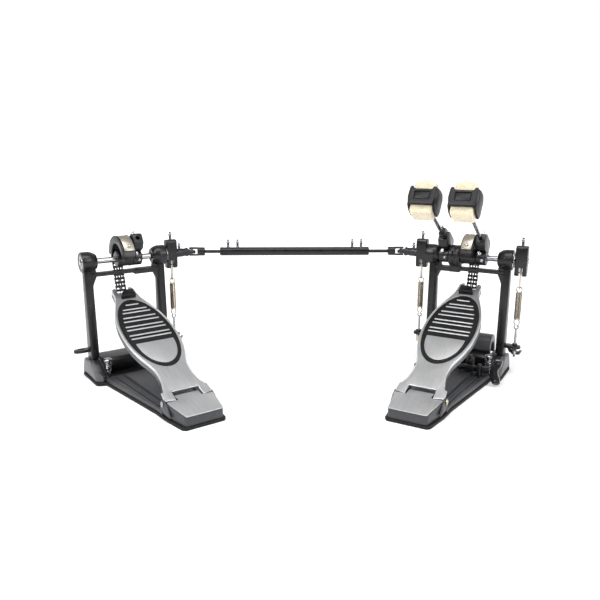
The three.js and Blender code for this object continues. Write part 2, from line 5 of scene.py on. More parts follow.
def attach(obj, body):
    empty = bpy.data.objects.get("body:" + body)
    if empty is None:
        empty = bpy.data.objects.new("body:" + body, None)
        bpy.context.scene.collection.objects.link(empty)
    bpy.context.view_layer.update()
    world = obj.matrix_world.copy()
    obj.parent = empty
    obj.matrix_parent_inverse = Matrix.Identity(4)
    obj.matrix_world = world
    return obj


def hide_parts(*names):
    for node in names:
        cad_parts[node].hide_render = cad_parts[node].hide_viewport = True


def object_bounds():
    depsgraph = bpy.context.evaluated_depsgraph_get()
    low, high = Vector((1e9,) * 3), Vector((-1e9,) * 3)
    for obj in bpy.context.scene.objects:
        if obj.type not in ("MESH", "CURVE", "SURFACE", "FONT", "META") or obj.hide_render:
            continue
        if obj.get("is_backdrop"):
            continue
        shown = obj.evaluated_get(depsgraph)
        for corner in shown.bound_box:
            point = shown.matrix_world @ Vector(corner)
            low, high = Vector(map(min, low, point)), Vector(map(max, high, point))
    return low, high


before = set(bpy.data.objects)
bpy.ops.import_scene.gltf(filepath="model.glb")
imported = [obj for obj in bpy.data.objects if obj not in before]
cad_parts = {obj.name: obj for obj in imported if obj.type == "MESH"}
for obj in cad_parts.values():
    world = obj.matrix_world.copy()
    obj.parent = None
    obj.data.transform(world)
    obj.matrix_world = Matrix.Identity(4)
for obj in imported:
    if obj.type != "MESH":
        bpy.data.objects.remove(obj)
CAD_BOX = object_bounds()

# ------------------------------------------------------------------ layout (same numbers as the CAD design, millimetres)
ORIGIN = (-1.6273, -92.7914)
SIDES = {"left": (-310.57, -3.37, 34.593), "right": (301.02, 3.53, -30.989)}
Z = 205.0
HINGE_Y, HINGE_Z, SLOPE = -247.0, 28.9, math.radians(23.883)
PIN_Y, PIN_Z = -237.0, 23.4
LEAN = math.radians(57.85)
ROD_S = 21.5
CHAIN_R = 37.3
LEVER_X = 88.5
UJ_X = 130.51
EYE_Z = 88.0
LUG_Z = 51.5
MM = Matrix.Scale(0.001, 4)


def side_matrix(side):
    x, y, a = SIDES[side]
    return Matrix.Translation(((x - ORIGIN[0]) / 1000, (y - ORIGIN[1]) / 1000, 0)) @ Matrix.Rotation(math.radians(a), 4, "Z") @ MM


ROW = Matrix.Translation((-ORIGIN[0] / 1000, -ORIGIN[1] / 1000, 0)) @ MM
SLOPES = {"left": SLOPE, "right": SLOPE + math.radians(0.8)}
SCREW_Y, SCREW_Z = -72.5, 24.8


def board(side):
    """footboard frame: x across, s along, n off the tread"""
    return Matrix.Translation((0, HINGE_Y, HINGE_Z)) @ Matrix.Rotation(SLOPES[side], 4, "X")


RODM = lambda x: Matrix.Translation((x, 0, Z)) @ Matrix.Rotation(LEAN, 4, "X")            # x, strike, along rod


# ------------------------------------------------------------------ mesh helpers (bmesh, millimetres, local frames)
def new():
    return bmesh.new()


def join(dst, src, m=None):
    """adds bmesh src into dst, moved by m"""
    vm = {}
    for v in src.verts:
        vm[v] = dst.verts.new(m @ v.co if m else v.co)
    for f in src.faces:
        try:
            nf = dst.faces.new([vm[v] for v in f.verts])
            nf.material_index = f.material_index
        except ValueError:
            pass
    src.free()
    return dst


def both(src, keep=True):
    """src and its mirror image in x"""
    out = new()
    cp = src.copy()
    join(out, src)
    for v in cp.verts:
        v.co.x = -v.co.x
    bmesh.ops.reverse_faces(cp, faces=cp.faces[:])
    join(out, cp)
    return out


def moved(bm, m):
    bmesh.ops.transform(bm, matrix=m, verts=bm.verts[:])
    return bm


def fillet(pts, r, closed=True, n=4):
    """rounds the corners of a 2D outline; r is one radius or one per point"""
    out = []
    N = len(pts)
    for i in range(N):
        p = Vector(pts[i])
        ri = r[i] if isinstance(r, (list, tuple)) else r
        if not closed and i in (0, N - 1):
            out.append(p[:])
            continue
        a, b = Vector(pts[i - 1]), Vector(pts[(i + 1) % N])
        u, v = (a - p), (b - p)
        if u.length < 1e-9 or v.length < 1e-9 or ri <= 0:
            out.append(p[:])
            continue
        ang = u.angle(v)
        if ang > math.radians(176):
            out.append(p[:])
            continue
        t = min(ri / math.tan(ang / 2), u.length * 0.45, v.length * 0.45)
        rr = t * math.tan(ang / 2)
        u.normalize(); v.normalize()
        c = p + (u + v).normalized() * (rr / math.sin(ang / 2))
        p0, p1 = p + u * t, p + v * t
        a0 = math.atan2(*(p0 - c).yx); a1 = math.atan2(*(p1 - c).yx)
        d = (a1 - a0 + math.pi) % (2 * math.pi) - math.pi
        k = max(1, int(math.ceil(n * abs(d) / (math.pi / 2))))
        for j in range(k + 1):
            t2 = a0 + d * j / k
            out.append((c.x + rr * math.cos(t2), c.y + rr * math.sin(t2)))
    res = []
    for p in out:
        if not res or (Vector(p) - Vector(res[-1])).length > 1e-4:
            res.append(tuple(p))
    if closed and len(res) > 2 and (Vector(res[0]) - Vector(res[-1])).length < 1e-4:
        res.pop()
    return res


def area2(pts):
    return sum(pts[i - 1][0] * pts[i][1] - pts[i][0] * pts[i - 1][1] for i in range(len(pts))) / 2


def offset(pts, d):
    """moves a counter-clockwise outline inwards by d"""
    N = len(pts); out = []
    for i in range(N):
        a, p, b = Vector(pts[i - 1]), Vector(pts[i]), Vector(pts[(i + 1) % N])
        u = (p - a).normalized(); v = (b - p).normalized()
        n1 = Vector((-u.y, u.x)); n2 = Vector((-v.y, v.x))
        m = n1 + n2
        if m.length < 1e-6:
            m = n1.copy()
        m.normalize()
        c = max(0.35, m.dot(n1))
        out.append(tuple(p + m * (d / c)))
    return out


def prism(outer, h0, h1, bevel=0.6, holes=(), seg=3, bottom=None):
    """outline in the xy plane, h0..h1 along z, edges rounded by bevel"""
    bm = new()
    bb = bevel if bottom is None else bottom
    loops = [list(outer) if area2(outer) > 0 else list(reversed(outer))]
    for h in holes:
        loops.append(list(h) if area2(h) < 0 else list(reversed(h)))
    caps = [[], []]
    for L in loops:
        rings = []
        steps = []
        for j in range(seg + 1) if bb > 0 else [seg]:
            a = (math.pi / 2) * j / seg
            steps.append((bb * (1 - math.sin(a)), h0 + bb * (1 - math.cos(a))))
        if bb > 0:
            steps = [(bb * (1 - math.sin(math.pi / 2 * j / seg)), h0 + bb * (1 - math.cos(math.pi / 2 * j / seg))) for j in range(seg + 1)]
        else:
            steps = [(0, h0)]
        if bevel > 0:
            steps += [(bevel * (1 - math.cos(math.pi / 2 * j / seg)), h1 - bevel * (1 - math.sin(math.pi / 2 * j / seg))) for j in range(seg + 1)]
        else:
            steps += [(0, h1)]
        for off, z in steps:
            q = offset(L, off) if off > 1e-6 else L
            rings.append([bm.verts.new((p[0], p[1], z)) for p in q])
        n = len(L)
        for r0, r1 in zip(rings, rings[1:]):
            for i in range(n):
                bm.faces.new((r0[i - 1], r0[i], r1[i], r1[i - 1]))
        caps[0].append(rings[0]); caps[1].append(rings[-1])
    for k, cap in enumerate(caps):
        edges = []
        for ring in cap:
            for i in range(len(ring)):
                e = bm.edges.get((ring[i - 1], ring[i]))
                edges.append(e)
        if len(cap) == 1:
            try:
                bm.faces.new(cap[0] if k else list(reversed(cap[0])))
                continue
            except ValueError:
                pass
        bmesh.ops.triangle_fill(bm, edges=edges, use_beauty=True, use_dissolve=False)
    bmesh.ops.recalc_face_normals(bm, faces=bm.faces[:])
    return bm


AX = {  # maps prism/lathe axes (a, b, height) to x, y, z
    "X": Matrix(((0, 0, 1, 0), (1, 0, 0, 0), (0, 1, 0, 0), (0, 0, 0, 1))),   # a=y b=z h=x
    "Y": Matrix(((1, 0, 0, 0), (0, 0, -1, 0), (0, 1, 0, 0), (0, 0, 0, 1))),  # a=x b=z h=-y
    "Z": Matrix.Identity(4),
}


def prismX(o, x0, x1, **k):
    return moved(prism(o, x0, x1, **k), AX["X"])


def lathe(prof, seg=48, axis="X", at=(0, 0, 0), r=0.0, n=3):
    """profile [(h, radius)...] turned about an axis through at; corners rounded by r"""
    if r:
        prof = fillet(prof, r, closed=False, n=n)
    bm = new(); rings = []
    for h, rad in prof:
        if rad < 1e-6:
            rings.append([bm.verts.new((0, 0, h))])
        else:
            rings.append([bm.verts.new((rad * math.cos(2 * math.pi * i / seg), rad * math.sin(2 * math.pi * i / seg), h)) for i in range(seg)])
    for a, b in zip(rings, rings[1:]):
        if len(a) == 1 and len(b) == 1:
            continue
        for i in range(seg):
            if len(a) == 1:
                bm.faces.new((a[0], b[i - 1], b[i]))
            elif len(b) == 1:
                bm.faces.new((a[i - 1], a[i], b[0]))
            else:
                bm.faces.new((a[i - 1], a[i], b[i], b[i - 1]))
    bmesh.ops.remove_doubles(bm, verts=bm.verts[:], dist=1e-5)
    bmesh.ops.recalc_face_normals(bm, faces=bm.faces[:])
    return moved(bm, Matrix.Translation(at) @ AX[axis])


def rod(a, b, r, seg=24, ch=0.4):
    """round bar from point a to point b with rounded ends"""
    a, b = Vector(a), Vector(b)
    L = (b - a).length
    bm = lathe([(0, 0), (0, r - ch), (ch, r), (L - ch, r), (L, r - ch), (L, 0)], seg, "Z")
    q = (b - a).to_track_quat("Z", "Y").to_matrix().to_4x4()
    return moved(bm, Matrix.Translation(a) @ q)


def tube(path, r, sides=8, closed=False):
    """solid wire along a path of points"""
    bm = new(); P = [Vector(p) for p in path]; N = len(P); rings = []
    t0 = (P[1] - P[0]).normalized()
    nrm = t0.orthogonal().normalized()
    for i in range(N):
        if closed:
            t = (P[(i + 1) % N] - P[i - 1]).normalized()
        else:
            t = (P[min(i + 1, N - 1)] - P[max(i - 1, 0)]).normalized()
        nrm = (nrm - t * nrm.dot(t)).normalized()
        bn = t.cross(nrm)
        rings.append([bm.verts.new(P[i] + (nrm * math.cos(2 * math.pi * k / sides) + bn * math.sin(2 * math.pi * k / sides)) * r) for k in range(sides)])
    M = N if closed else N - 1
    for i in range(M):
        a, b = rings[i], rings[(i + 1) % N]
        sh = 0
        if closed and i == N - 1:
            sh = min(range(sides), key=lambda s: (a[0].co - b[s].co).length)
        for k in range(sides):
            bm.faces.new((a[k - 1], a[k], b[(k + sh) % sides], b[(k - 1 + sh) % sides]))
    if not closed:
        bm.faces.new(list(reversed(rings[0]))); bm.faces.new(rings[-1])
    bmesh.ops.recalc_face_normals(bm, faces=bm.faces[:])
    return bm


def ring3(c, R, r, axis="X", n=28, sides=8):
    pts = []
    for i in range(n):
        a = 2 * math.pi * i / n
        v = {"X": (0, R * math.cos(a), R * math.sin(a)), "Y": (R * math.cos(a), 0, R * math.sin(a)), "Z": (R * math.cos(a), R * math.sin(a), 0)}[axis]
        pts.append(Vector(c) + Vector(v))
    return tube(pts, r, sides, True)


def box(x0, x1, y0, y1, z0, z1, bevel=0.6, seg=2):
    return prism([(x0, y0), (x1, y0), (x1, y1), (x0, y1)], z0, z1, bevel=bevel, seg=seg) if bevel <= 0 else \
        prism(fillet([(x0, y0), (x1, y0), (x1, y1), (x0, y1)], bevel, n=2), z0, z1, bevel=bevel, seg=seg)


def arc(r, a0, a1, n, c=(0, Z)):
    return [(c[0] + r * math.cos(math.radians(a0 + (a1 - a0) * i / n)), c[1] + r * math.sin(math.radians(a0 + (a1 - a0) * i / n))) for i in range(n + 1)]


def sector(r0, r1, a0, a1, n):
    return arc(r1, a0, a1, n) + arc(r0, a1, a0, n)


def hexa(r, rot=0.0, n=6):
    return [(r * math.cos(rot + 2 * math.pi * i / n), r * math.sin(rot + 2 * math.pi * i / n)) for i in range(n)]


def smooth_line(pts, n=4):
    """Catmull-Rom through points"""
    out = []
    for i in range(len(pts) - 1):
        p0 = Vector(pts[max(i - 1, 0)]); p1 = Vector(pts[i]); p2 = Vector(pts[i + 1]); p3 = Vector(pts[min(i + 2, len(pts) - 1)])
        for j in range(n):
            t = j / n
            out.append(tuple(0.5 * ((2 * p1) + (p2 - p0) * t + (2 * p0 - 5 * p1 + 4 * p2 - p3) * t * t + (3 * p1 - p0 - 3 * p2 + p3) * t ** 3)))
    out.append(tuple(pts[-1]))
    return out


def to_object(bm, name, mats, m, body, slot, replaces=(), sharp=32):
    """bmesh in local millimetres to an object in the row frame that rides on a body"""
    bmesh.ops.transform(bm, matrix=m, verts=bm.verts[:])
    bmesh.ops.remove_doubles(bm, verts=bm.verts[:], dist=2e-7)
    bmesh.ops.dissolve_degenerate(bm, edges=bm.edges[:], dist=1e-7)
    bm.normal_update()
    lim = math.radians(sharp)
    for f in bm.faces:
        f.smooth = True
    for e in bm.edges:
        e.smooth = not (len(e.link_faces) == 2 and e.calc_face_angle(0) > lim)
    me = bpy.data.meshes.new(name)
    bm.to_mesh(me); bm.free()
    ob = bpy.data.objects.new(name, me)
    bpy.context.scene.collection.objects.link(ob)
    for mt in (mats if isinstance(mats, (list, tuple)) else [mats]):
        me.materials.append(mt)
    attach(ob, body)
    if replaces:
        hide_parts(*replaces)
    return ob


def boolean(bm, cutters, op="DIFFERENCE"):
    """exact boolean of bmeshes, returns a new bmesh"""
    def tmp(b):
        me = bpy.data.meshes.new("tmp"); b.to_mesh(me); b.free()
        ob = bpy.data.objects.new("tmp", me); bpy.context.scene.collection.objects.link(ob); return ob
    a = tmp(bm); cs = [tmp(c) for c in cutters]
    for c in cs:
        md = a.modifiers.new("b", "BOOLEAN"); md.operation = op; md.object = c; md.solver = "EXACT"
    dg = bpy.context.evaluated_depsgraph_get()
    ev = a.evaluated_get(dg); me = bpy.data.meshes.new_from_object(ev)
    out = new(); out.from_mesh(me)
    for o in [a] + cs:
        d = o.data; bpy.data.objects.remove(o); bpy.data.meshes.remove(d)
    bpy.data.meshes.remove(me)
    bmesh.ops.dissolve_limit(out, angle_limit=math.radians(0.5), verts=out.verts[:], edges=out.edges[:])
    return out


def soften(bm, w, angle=35, seg=2):
    """rounds the sharp edges of a bmesh"""
    es = [e for e in bm.edges if len(e.link_faces) == 2 and e.calc_face_angle(0) > math.radians(angle)]
    bmesh.ops.bevel(bm, geom=es, offset=w, segments=seg, profile=0.5, affect="EDGES", clamp_overlap=True)
    return bm


# ------------------------------------------------------------------ materials
def nodes_of(name):
    m = bpy.data.materials.new(name); m.use_nodes = True
    nt = m.node_tree
    bsdf = nt.nodes["Principled BSDF"]
    return m, nt, bsdf


def link(nt, a, b):
    nt.links.new(a, b)


def coords(nt, scale=(1, 1, 1), rot=(0, 0, 0)):
    tc = nt.nodes.new("ShaderNodeTexCoord"); mp = nt.nodes.new("ShaderNodeMapping")
    mp.inputs["Scale"].default_value = scale; mp.inputs["Rotation"].default_value = rot
    link(nt, tc.outputs["Object"], mp.inputs["Vector"])
    return mp.outputs["Vector"]


def noise_tex(nt, vec, scale, detail=4, rough=0.6, dist=0.0):
    n = nt.nodes.new("ShaderNodeTexNoise")
    n.inputs["Scale"].default_value = scale; n.inputs["Detail"].default_value = detail
    n.inputs["Roughness"].default_value = rough; n.inputs["Distortion"].default_value = dist
    link(nt, vec, n.inputs["Vector"])
    return n.outputs["Fac"]


def ramp(nt, fac, stops):
    r = nt.nodes.new("ShaderNodeValToRGB")
    el = r.color_ramp.elements
    while len(el) < len(stops):
        el.new(0.5)
    for e, (p, c) in zip(el, stops):
        e.position = p
        e.color = (c[0], c[1], c[2], 1) if isinstance(c, (tuple, list)) else (c, c, c, 1)
    link(nt, fac, r.inputs["Fac"])
    return r.outputs["Color"]


def bump(nt, fac, strength, dist, prev=None):
    b = nt.nodes.new("ShaderNodeBump"); b.inputs["Strength"].default_value = strength; b.inputs["Distance"].default_value = dist
    link(nt, fac, b.inputs["Height"])
    if prev:
        link(nt, prev, b.inputs["Normal"])
    return b.outputs["Normal"]


def mix(nt, fac, a, b):
    m = nt.nodes.new("ShaderNodeMix"); m.data_type = "RGBA"
    if isinstance(fac, float):
        m.inputs[0].default_value = fac
    else:
        link(nt, fac, m.inputs[0])
    for s, v in ((m.inputs[6], a), (m.inputs[7], b)):
        if isinstance(v, (tuple, list)):
            s.default_value = (*v[:3], 1)
        else:
            link(nt, v, s)
    return m.outputs[2]


def metal(name, col, col2, rough, rvar=0.08, grain=None, rot=(0, 0, 0), bumps=0.02, aniso=0.0, metallic=1.0):
    """bare or plated metal; grain = noise scales for brushing"""
    m, nt, b = nodes_of(name)
    v = coords(nt)
    big = noise_tex(nt, v, 35, 3)
    if grain:
        tc = nt.nodes.new("ShaderNodeTexCoord"); r1 = nt.nodes.new("ShaderNodeMapping"); r2 = nt.nodes.new("ShaderNodeMapping")
        r1.vector_type = "POINT"; r1.inputs["Rotation"].default_value = rot
        link(nt, tc.outputs["Object"], r1.inputs["Vector"])
        r2.inputs["Scale"].default_value = grain
        link(nt, r1.outputs["Vector"], r2.inputs["Vector"])
        fine = noise_tex(nt, r2.outputs["Vector"], 1.0, 6, 0.7)
    else:
        fine = noise_tex(nt, v, 900, 3)
    c = ramp(nt, fine, [(0.32, col2), (0.68, col)])
    c = mix(nt, ramp(nt, big, [(0.35, 0.0), (0.7, 0.25)]), c, col2)
    link(nt, c, b.inputs["Base Color"])
    rr = ramp(nt, fine, [(0.3, max(0.02, rough - rvar)), (0.7, rough + rvar)])
    link(nt, rr, b.inputs["Roughness"])
    b.inputs["Metallic"].default_value = metallic
    link(nt, bump(nt, fine, bumps * 10, 0.00005), b.inputs["Normal"])
    if aniso:
        b.inputs["Anisotropic"].default_value = aniso
    return m


def paint(name, col, rough, spec=0.5, peel=0.15, grain=1400, coat=0.0, var=0.25, dust=0.0):
    """satin paint or moulded plastic with a fine surface"""
    m, nt, b = nodes_of(name)
    v = coords(nt)
    a = noise_tex(nt, v, 60, 4); f = noise_tex(nt, v, grain, 2)
    c2 = tuple(min(1, x * (1 + var) + 0.004) for x in col)
    c = ramp(nt, a, [(0.3, col), (0.75, c2)])
    if dust:
        c = mix(nt, ramp(nt, noise_tex(nt, v, 420, 6, 0.75), [(0.58, 0.0), (0.8, dust)]), c, (0.45, 0.45, 0.46))
    link(nt, c, b.inputs["Base Color"])
    link(nt, ramp(nt, a, [(0.3, rough - 0.05), (0.7, rough + 0.07)]), b.inputs["Roughness"])
    b.inputs["Specular IOR Level"].default_value = spec
    if coat:
        b.inputs["Coat Weight"].default_value = coat
        b.inputs["Coat Roughness"].default_value = 0.08
    link(nt, bump(nt, f, peel, 0.0001), b.inputs["Normal"])
    return m


def felt_mat():
    m, nt, b = nodes_of("cream_felt")
    v = coords(nt)
    fib = noise_tex(nt, v, 1800, 5, 0.8, 1.5); clump = noise_tex(nt, v, 260, 5, 0.7); cloud = noise_tex(nt, v, 45, 3)
    c = ramp(nt, clump, [(0.3, (0.60, 0.50, 0.33)), (0.5, (0.72, 0.63, 0.45)), (0.72, (0.82, 0.75, 0.58))])
    c = mix(nt, ramp(nt, cloud, [(0.4, 0.0), (0.75, 0.35)]), c, (0.64, 0.53, 0.35))
    c = mix(nt, ramp(nt, fib, [(0.45, 0.0), (0.7, 0.3)]), c, (0.88, 0.83, 0.70))
    link(nt, c, b.inputs["Base Color"])
    b.inputs["Roughness"].default_value = 0.95
    b.inputs["Sheen Weight"].default_value = 0.5
    b.inputs["Sheen Roughness"].default_value = 0.6
    b.inputs["Specular IOR Level"].default_value = 0.15
    n1 = bump(nt, clump, 0.6, 0.0006)
    link(nt, bump(nt, fib, 0.7, 0.0003, n1), b.inputs["Normal"])
    return m


def brushed(name, yaw, slope=0.0, dark=0.0):
    """brushed aluminium with the grain along the pedal"""
    m, nt, b = nodes_of(name)
    tc = nt.nodes.new("ShaderNodeTexCoord"); r1 = nt.nodes.new("ShaderNodeMapping"); r2 = nt.nodes.new("ShaderNodeMapping"); r3 = nt.nodes.new("ShaderNodeMapping")
    r1.inputs["Rotation"].default_value = (0, 0, -yaw); link(nt, tc.outputs["Object"], r1.inputs["Vector"])
    r2.inputs["Scale"].default_value = (1500, 26, 60); link(nt, r1.outputs["Vector"], r2.inputs["Vector"])
    r3.inputs["Scale"].default_value = (380, 10, 20); link(nt, r1.outputs["Vector"], r3.inputs["Vector"])
    fine = noise_tex(nt, r2.outputs["Vector"], 1.0, 5, 0.7); wide = noise_tex(nt, r3.outputs["Vector"], 1.0, 3, 0.6); cloud = noise_tex(nt, r1.outputs["Vector"], 28, 3)
    c = ramp(nt, fine, [(0.3, (0.46 - dark, 0.465 - dark, 0.475 - dark)), (0.7, (0.70 - dark, 0.705 - dark, 0.715 - dark))])
    c = mix(nt, ramp(nt, wide, [(0.35, 0.0), (0.65, 0.5)]), c, (0.56 - dark, 0.565 - dark, 0.575 - dark))
    c = mix(nt, ramp(nt, cloud, [(0.4, 0.0), (0.8, 0.3)]), c, (0.74 - dark, 0.74 - dark, 0.75 - dark))
    link(nt, c, b.inputs["Base Color"])
    link(nt, ramp(nt, fine, [(0.3, 0.30), (0.7, 0.46)]), b.inputs["Roughness"])
    b.inputs["Metallic"].default_value = 0.85
    link(nt, bump(nt, fine, 0.25, 0.00006), b.inputs["Normal"])
    return m


MATS = {
    "black": paint("black_casting", (0.0045, 0.0045, 0.0055), 0.30, 0.42, 0.12, 1500, var=0.5),
    "grey": paint("grey_casting", (0.040, 0.041, 0.046), 0.40, 0.4, 0.25, 1100, var=0.3, dust=0.12),
    "foot": paint("foot_casting", (0.085, 0.087, 0.094), 0.34, 0.5, 0.25, 1100, var=0.2, dust=0.1),
    "rubber": paint("black_rubber", (0.007, 0.007, 0.007), 0.62, 0.3, 0.5, 900, var=0.4, dust=0.06),
    "pad": paint("inlay_rubber", (0.004, 0.004, 0.0045), 0.55, 0.28, 0.4, 1100, var=0.4),
    "plastic": paint("black_plastic", (0.0045, 0.0045, 0.006), 0.40, 0.26, 0.22, 1300, var=0.4),
    "gloss": paint("gloss_black", (0.008, 0.008, 0.009), 0.16, 0.6, 0.03, 500, coat=0.8, var=0.2),
    "steel": metal("black_steel", (0.045, 0.045, 0.05), (0.02, 0.02, 0.022), 0.36, 0.08, metallic=0.6),
    "chrome": metal("chrome", (0.46, 0.46, 0.48), (0.30, 0.30, 0.32), 0.19, 0.05, bumps=0.006),
    "nickel": metal("nickel_plate", (0.56, 0.51, 0.43), (0.44, 0.39, 0.32), 0.38, 0.05, bumps=0.006),
    "spring": metal("spring_steel", (0.62, 0.57, 0.50), (0.42, 0.37, 0.31), 0.28, 0.06),
    "brass": metal("pin_metal", (0.62, 0.56, 0.42), (0.45, 0.40, 0.30), 0.3, 0.06),
    "felt": felt_mat(),
}
for _s, (_x, _y, _a) in SIDES.items():
    MATS["alu_" + _s] = brushed("brushed_aluminium_" + _s, math.radians(_a))
    # darker copy of the brushed aluminium for the skirt: painted shade on the wall below the tread
    MATS["skirt_" + _s] = brushed("cast_aluminium_" + _s, math.radians(_a), dark=0.45)
    # lighter copy of the brushed aluminium, grain turned across, for the edge bead: painted highlight
    MATS["rib_" + _s] = brushed("rib_aluminium_" + _s, math.radians(_a + 90), dark=-0.12)
SLOT = {"black": "black_casting", "grey": "grey_casting", "foot": "grey_casting", "rubber": "black_rubber", "pad": "black_rubber", "plastic": "black_plastic", "gloss": "gloss_black",
        "steel": "black_steel", "chrome": "chrome", "nickel": "nickel_plate", "spring": "spring_steel", "brass": "nickel_plate", "felt": "cream_felt"}


def put(bm, name, mat, side, body, replaces=(), m=None, sharp=32):
    base = ROW if side is None else side_matrix(side)
    key = mat.split("_")[0]
    sl = "brushed_aluminium" if key in ("alu", "rib", "skirt") else SLOT[mat]
    return to_object(bm, name, MATS[mat], base @ m if m else base, body, sl, replaces, sharp)


# ------------------------------------------------------------------ small fasteners
def key_screw(h, r=2.6, head=3.6, seg=20):
    """drum-key screw standing along +z: thread, collar and square head; z=0 at the seat"""
    bm = new()
    prof = [(-0.5, 0), (-0.5, r)]
    z = 0.0
    while z < h - 6.2:
        prof += [(z, r), (z + 0.35, r - 0.35), (z + 0.7, r)]
        z += 0.75
    prof += [(h - 6.0, r), (h - 6.0, head), (h - 4.9, head), (h - 4.7, 1.9), (h - 4.7, 0)]
    join(bm, lathe(prof, seg, "Z"))
    join(bm, prism(fillet([(-1.9, -1.9), (1.9, -1.9), (1.9, 1.9), (-1.9, 1.9)], 0.5, n=2), h - 5.0, h, bevel=0.5, seg=2))
    return bm


def nut(r, h, bore=0.0):
    bm = prism(fillet(hexa(r, math.pi / 6), r * 0.12, n=2), 0, h, bevel=0.35, seg=2)
    join(bm, lathe([(h - 0.1, 0), (h - 0.1, r * 0.78), (h + 0.3, r * 0.70), (h + 0.3, 0)], 24, "Z"))
    return bm


def pan_screw(r, h, sock=True):
    bm = lathe([(0, 0), (0, r), (h * 0.5, r), (h, r * 0.6), (h, r * 0.42 if sock else 0)] + ([(h - 0.9, r * 0.42), (h - 0.9, 0)] if sock else []), 28, "Z", r=0.25)
    return bm


def coil(x, y, z0, z1, R, w, turns, per=18, sides=6):
    pts = []
    n = int(turns * per)
    for i in range(n + 1):
        a = 2 * math.pi * i / per
        pts.append((x + R * math.cos(a), y + R * math.sin(a), z0 + (z1 - z0) * i / n))
    return tube(pts, w, sides)


# ------------------------------------------------------------------ footboard outline
HALF = [(0, 38), (12, 37.9), (18, 36.4), (25, 33.2), (38, 29.6), (54, 27), (68, 27.4), (82, 30.4), (97, 35.8), (112, 40.3), (128, 43.7), (146, 45.6), (165, 46),
        (183, 45), (200, 42.3), (218, 38), (235, 32.4), (250, 26.6), (262, 22.4), (274, 20.4), (286, 20), (291.5, 18.5), (294.5, 15.5)]
OC, OA, OB = 165.4, 91.0, 42.0
RIBS = [241.7, 228.6, 219.9, 206.4, 196.3, 182.6, 173.5, 159.6, 150.6]


def oval(k, n=96):
    return [((OB * (1 - 0.03 * math.sin(2 * math.pi * i / n)) + k) * math.cos(2 * math.pi * i / n), OC + (OA + k) * math.sin(2 * math.pi * i / n)) for i in range(n)]


def oval_half(s):
    q = (s - OC) / 90.4
    return 40.0 * (1 - 0.10 * q) * math.sqrt(max(0, 1 - q * q))


def field(k, n=28):
    p = [((32.4 + k) * math.cos(math.pi + math.pi * i / n), 138.5 + (55.5 + k) * math.sin(math.pi + math.pi * i / n)) for i in range(n + 1)]
    p[0] = (p[0][0], p[0][1] + k); p[-1] = (p[-1][0], p[-1][1] + k)
    return p


